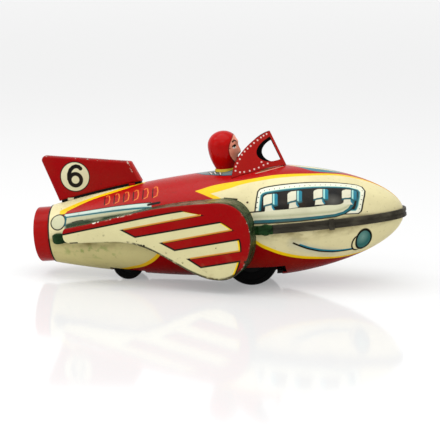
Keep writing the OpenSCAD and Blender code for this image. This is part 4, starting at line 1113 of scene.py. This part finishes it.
rings = []
for r, lift in ((4.3, 0.6), (4.5, 0.95), (4.9, 0.9), (5.15, 0.5), (5.2, 0.1)):
    ring = []
    for i in range(96):
        a = 2 * math.pi * i / 96
        s, y = HEAD_S + r * math.cos(a), r * math.sin(a)
        ground = math.sqrt(body_radius(s) ** 2 - y**2)
        ring.append((s, y, ground + 0.1 if lift == 0.1 else body_radius(HEAD_S) + lift))
    rings.append(ring)
bm = loft(rings)
place("collar", bm, "driver_collar", "collar_yellow", collar_yellow, wall=0.4, inside=(HEAD_S, 0, 20))

# %% [markdown]
# ## Tail ring and tyres
# Both are turned: a closed profile spun once round an axis. The tyres get three grooves and a raised bead.

# %% Tail ring and tyres
turn = [math.pi / 2 * i / 6 for i in range(7)]
RING_R, RING_BORE, RING_BACK, RING_FRONT = 13.5, 12.5, -7.6, 3
ROLL, LIP = 0.7, 0.3  # rounds at the ring's open end, outside and inside
rim = [(RING_BACK + ROLL - ROLL * math.cos(a), RING_R - ROLL + ROLL * math.sin(a)) for a in turn]
inner = [(RING_BACK + LIP - LIP * math.sin(a), RING_BORE + LIP - LIP * math.cos(a)) for a in turn]
outside = rim + [(RING_FRONT, RING_R), (RING_FRONT, RING_BORE)]
profile = [(s, 0, r) for s, r in outside + inner + rim[:1]]
place("ring", spun(profile, 128), "tail_ring", "ring_red", ring_red)


def tyre(r, rim_r, y_in, y_out):
    """A tyre's profile (y, radius), spun about the axle."""
    shoulder = [(y_out - 1.6 + 1.6 * math.sin(a), r - 1.6 + 1.6 * math.cos(a)) for a in turn]
    middle, run = (y_in + y_out) / 2, y_out - y_in
    tread = []
    for k in (-1, 0, 1):
        y = middle + k * run * 0.17
        tread += [(y - 0.3, r), (y - 0.18, r - 0.35), (y + 0.18, r - 0.35), (y + 0.3, r)]
    mid_r = (r + rim_r) / 2
    wall = [(y_out, mid_r + 0.6), (y_out - 0.25, mid_r + 0.3), (y_out - 0.25, rim_r + 0.9), (y_out, rim_r + 0.6),
            (y_out, rim_r + 0.1)]
    outer = shoulder + wall
    other = [(2 * middle - y, q) for y, q in reversed(outer)]
    points = other + tread + outer + other[:1]
    return spun([(0, y, q) for y, q in points], 120, (0, 1, 0))


for name, spot, r, rim_r, y_in, y_out in (("front", (17.638, 0, 13.2), 13.2, 7.0, 7.4, 12.9),
                                          ("rear", (-43.462, 0, 7.6), 7.6, 4.0, 5.2, 9.8)):
    for side, k in (("left", 1), ("right", -1)):
        where = Matrix.Scale(MM, 4) @ Matrix.Translation(spot) @ Matrix.Scale(k, 4, (0, 1, 0))
        place(f"{name}_{side}_rubber", tyre(r, rim_r, y_in, y_out), f"{name}_{side}_tyre", "tyre_rubber", tyre_black,
              body=f"{name}_wheelset", matrix=where)

# %% [markdown]
# ## Pieces that keep their CAD shape
# Clips, axles, gears, discs and plates are already right, so they only get a better paint in their own slots.

# %% Paint on the CAD pieces
kept = {
    strip_grey: ["strip_clips"],
    inner_tin_and_shade: ["tail_bulkhead"],
    steel: ["head_washer", "motor_pillars", "front_axle", "cluster_arbor", "flywheel_shaft", "rear_axle"],
    iron: ["flywheel"],
    brass: ["axle_bushes", "drive_gear", "cluster_pinion", "cluster_gear", "flywheel_pinion"],
    # The plates and the bracket are near-black as painted shade inside the wheel well; the discs are black paint.
    black_and_shade: ["motor_right_plate", "motor_left_plate", "rear_axle_bracket", "front_right_disc", "front_left_disc",
             "rear_right_disc", "rear_left_disc"],
}
for mat, names in kept.items():
    for name in names:
        for spot in nodes[name].material_slots:
            spot.material = mat
    print(mat.name, "on", len(names), "pieces")

# %% [markdown]
# ## Camera, floor and light
# The camera's place was found by fitting the toy's outline in the photograph: about 0.8 m away, a little to the
# front and above. A pale glossy floor takes a soft shadow and a faint reflection. For rays that are seen it also
# glows a little, which whitens the picture without more light on the tin.

# %% Camera and stage
AZIMUTH, ELEVATION, DISTANCE = math.radians(9.66), math.radians(10.66), 0.8
target = Vector((MID_X * MM, 0, AXIS_Z * MM))
back = Vector((math.sin(AZIMUTH) * math.cos(ELEVATION), -math.cos(AZIMUTH) * math.cos(ELEVATION),
               math.sin(ELEVATION)))
lens = bpy.data.cameras.new("camera")
lens.lens, lens.sensor_width = 134.8, 36
lens.shift_x, lens.shift_y = -0.01445, 0.0056
camera = bpy.data.objects.new("camera", lens)
camera.location = target + DISTANCE * back
camera.rotation_euler = (-back).to_track_quat("-Z", "Y").to_euler()
scene = bpy.context.scene
scene.collection.objects.link(camera)
scene.camera = camera
scene.view_settings.view_transform = "Standard"


def seen(tree, other, direct):
    """One number for rays from the camera, a reflection or clear glass, another for the rest."""
    ray, share = tree.nodes.new("ShaderNodeLightPath"), None
    for name in ("Is Camera Ray", "Is Glossy Ray", "Is Transmission Ray"):
        add = tree.nodes.new("ShaderNodeMath")
        add.use_clamp = True
        add.inputs[1].default_value = 0
        tree.links.new(ray.outputs[name], add.inputs[0])
        if share:
            tree.links.new(share, add.inputs[1])
        share = add.outputs[0]
    level = tree.nodes.new("ShaderNodeMapRange")
    level.inputs["To Min"].default_value, level.inputs["To Max"].default_value = other, direct
    tree.links.new(share, level.inputs["Value"])
    return level.outputs[0]


bm = bmesh.new()
bmesh.ops.create_grid(bm, x_segments=1, y_segments=1, size=3)
floor_mesh = bpy.data.meshes.new("floor")
bm.to_mesh(floor_mesh)
bm.free()
floor = bpy.data.objects.new("floor", floor_mesh)
scene.collection.objects.link(floor)
floor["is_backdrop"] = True
floor_mat = bpy.data.materials.new("floor white")
floor_mat.use_nodes = True
floor_shader = floor_mat.node_tree.nodes["Principled BSDF"]
floor_shader.inputs["Base Color"].default_value = (0.82, 0.82, 0.82, 1)
floor_shader.inputs["Roughness"].default_value = 0.09
tree = floor_mat.node_tree
glow, blend = tree.nodes.new("ShaderNodeEmission"), tree.nodes.new("ShaderNodeMixShader")
glow.inputs["Color"].default_value = (0.92, 0.92, 0.92, 1)
tree.links.new(seen(tree, 0.0, 0.32), blend.inputs[0])
tree.links.new(floor_shader.outputs[0], blend.inputs[1])
tree.links.new(glow.outputs[0], blend.inputs[2])
tree.links.new(blend.outputs[0], tree.nodes["Material Output"].inputs["Surface"])
floor_mesh.materials.append(floor_mat)
print("camera at", [round(v, 3) for v in camera.location])

# %% [markdown]
# Two softboxes give the broad light and two small lamps the glints. The room is plain light for the toy and white
# for the camera: Light Path tells rays that are seen, mirrored or passed on from those that light the toy.


# %% Lamps and world
def lamp(name, spot, aim, size, power):
    data = bpy.data.lights.new(name, "AREA")
    data.shape, data.size, data.size_y = "RECTANGLE", *size
    data.energy = power
    light = bpy.data.objects.new(name, data)
    light.location = spot
    light.rotation_euler = (Vector(aim) - Vector(spot)).to_track_quat("-Z", "Y").to_euler()
    scene.collection.objects.link(light)


lamp("top softbox", (-0.05, -0.1, 0.75), (0, 0, 0.02), (0.9, 0.7), 4.0)
lamp("left softbox", (-0.75, -0.55, 0.45), (0, 0, 0.04), (0.5, 0.6), 1.2)
lamp("small left lamp", (-0.43, -0.02, 0.47), (0, 0, 0.06), (0.12, 0.12), 0.25)
lamp("small front lamp", (-0.04, -0.43, 0.44), (-0.05, 0, 0.03), (0.3, 0.025), 0.3)

world = bpy.data.worlds.new("white room")
world.use_nodes = True
scene.world = world
air = world.node_tree.nodes["Background"]
air.inputs["Color"].default_value = (1, 1, 1, 1)
world.node_tree.links.new(seen(world.node_tree, 0.75, 1.0), air.inputs["Strength"])

low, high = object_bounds()
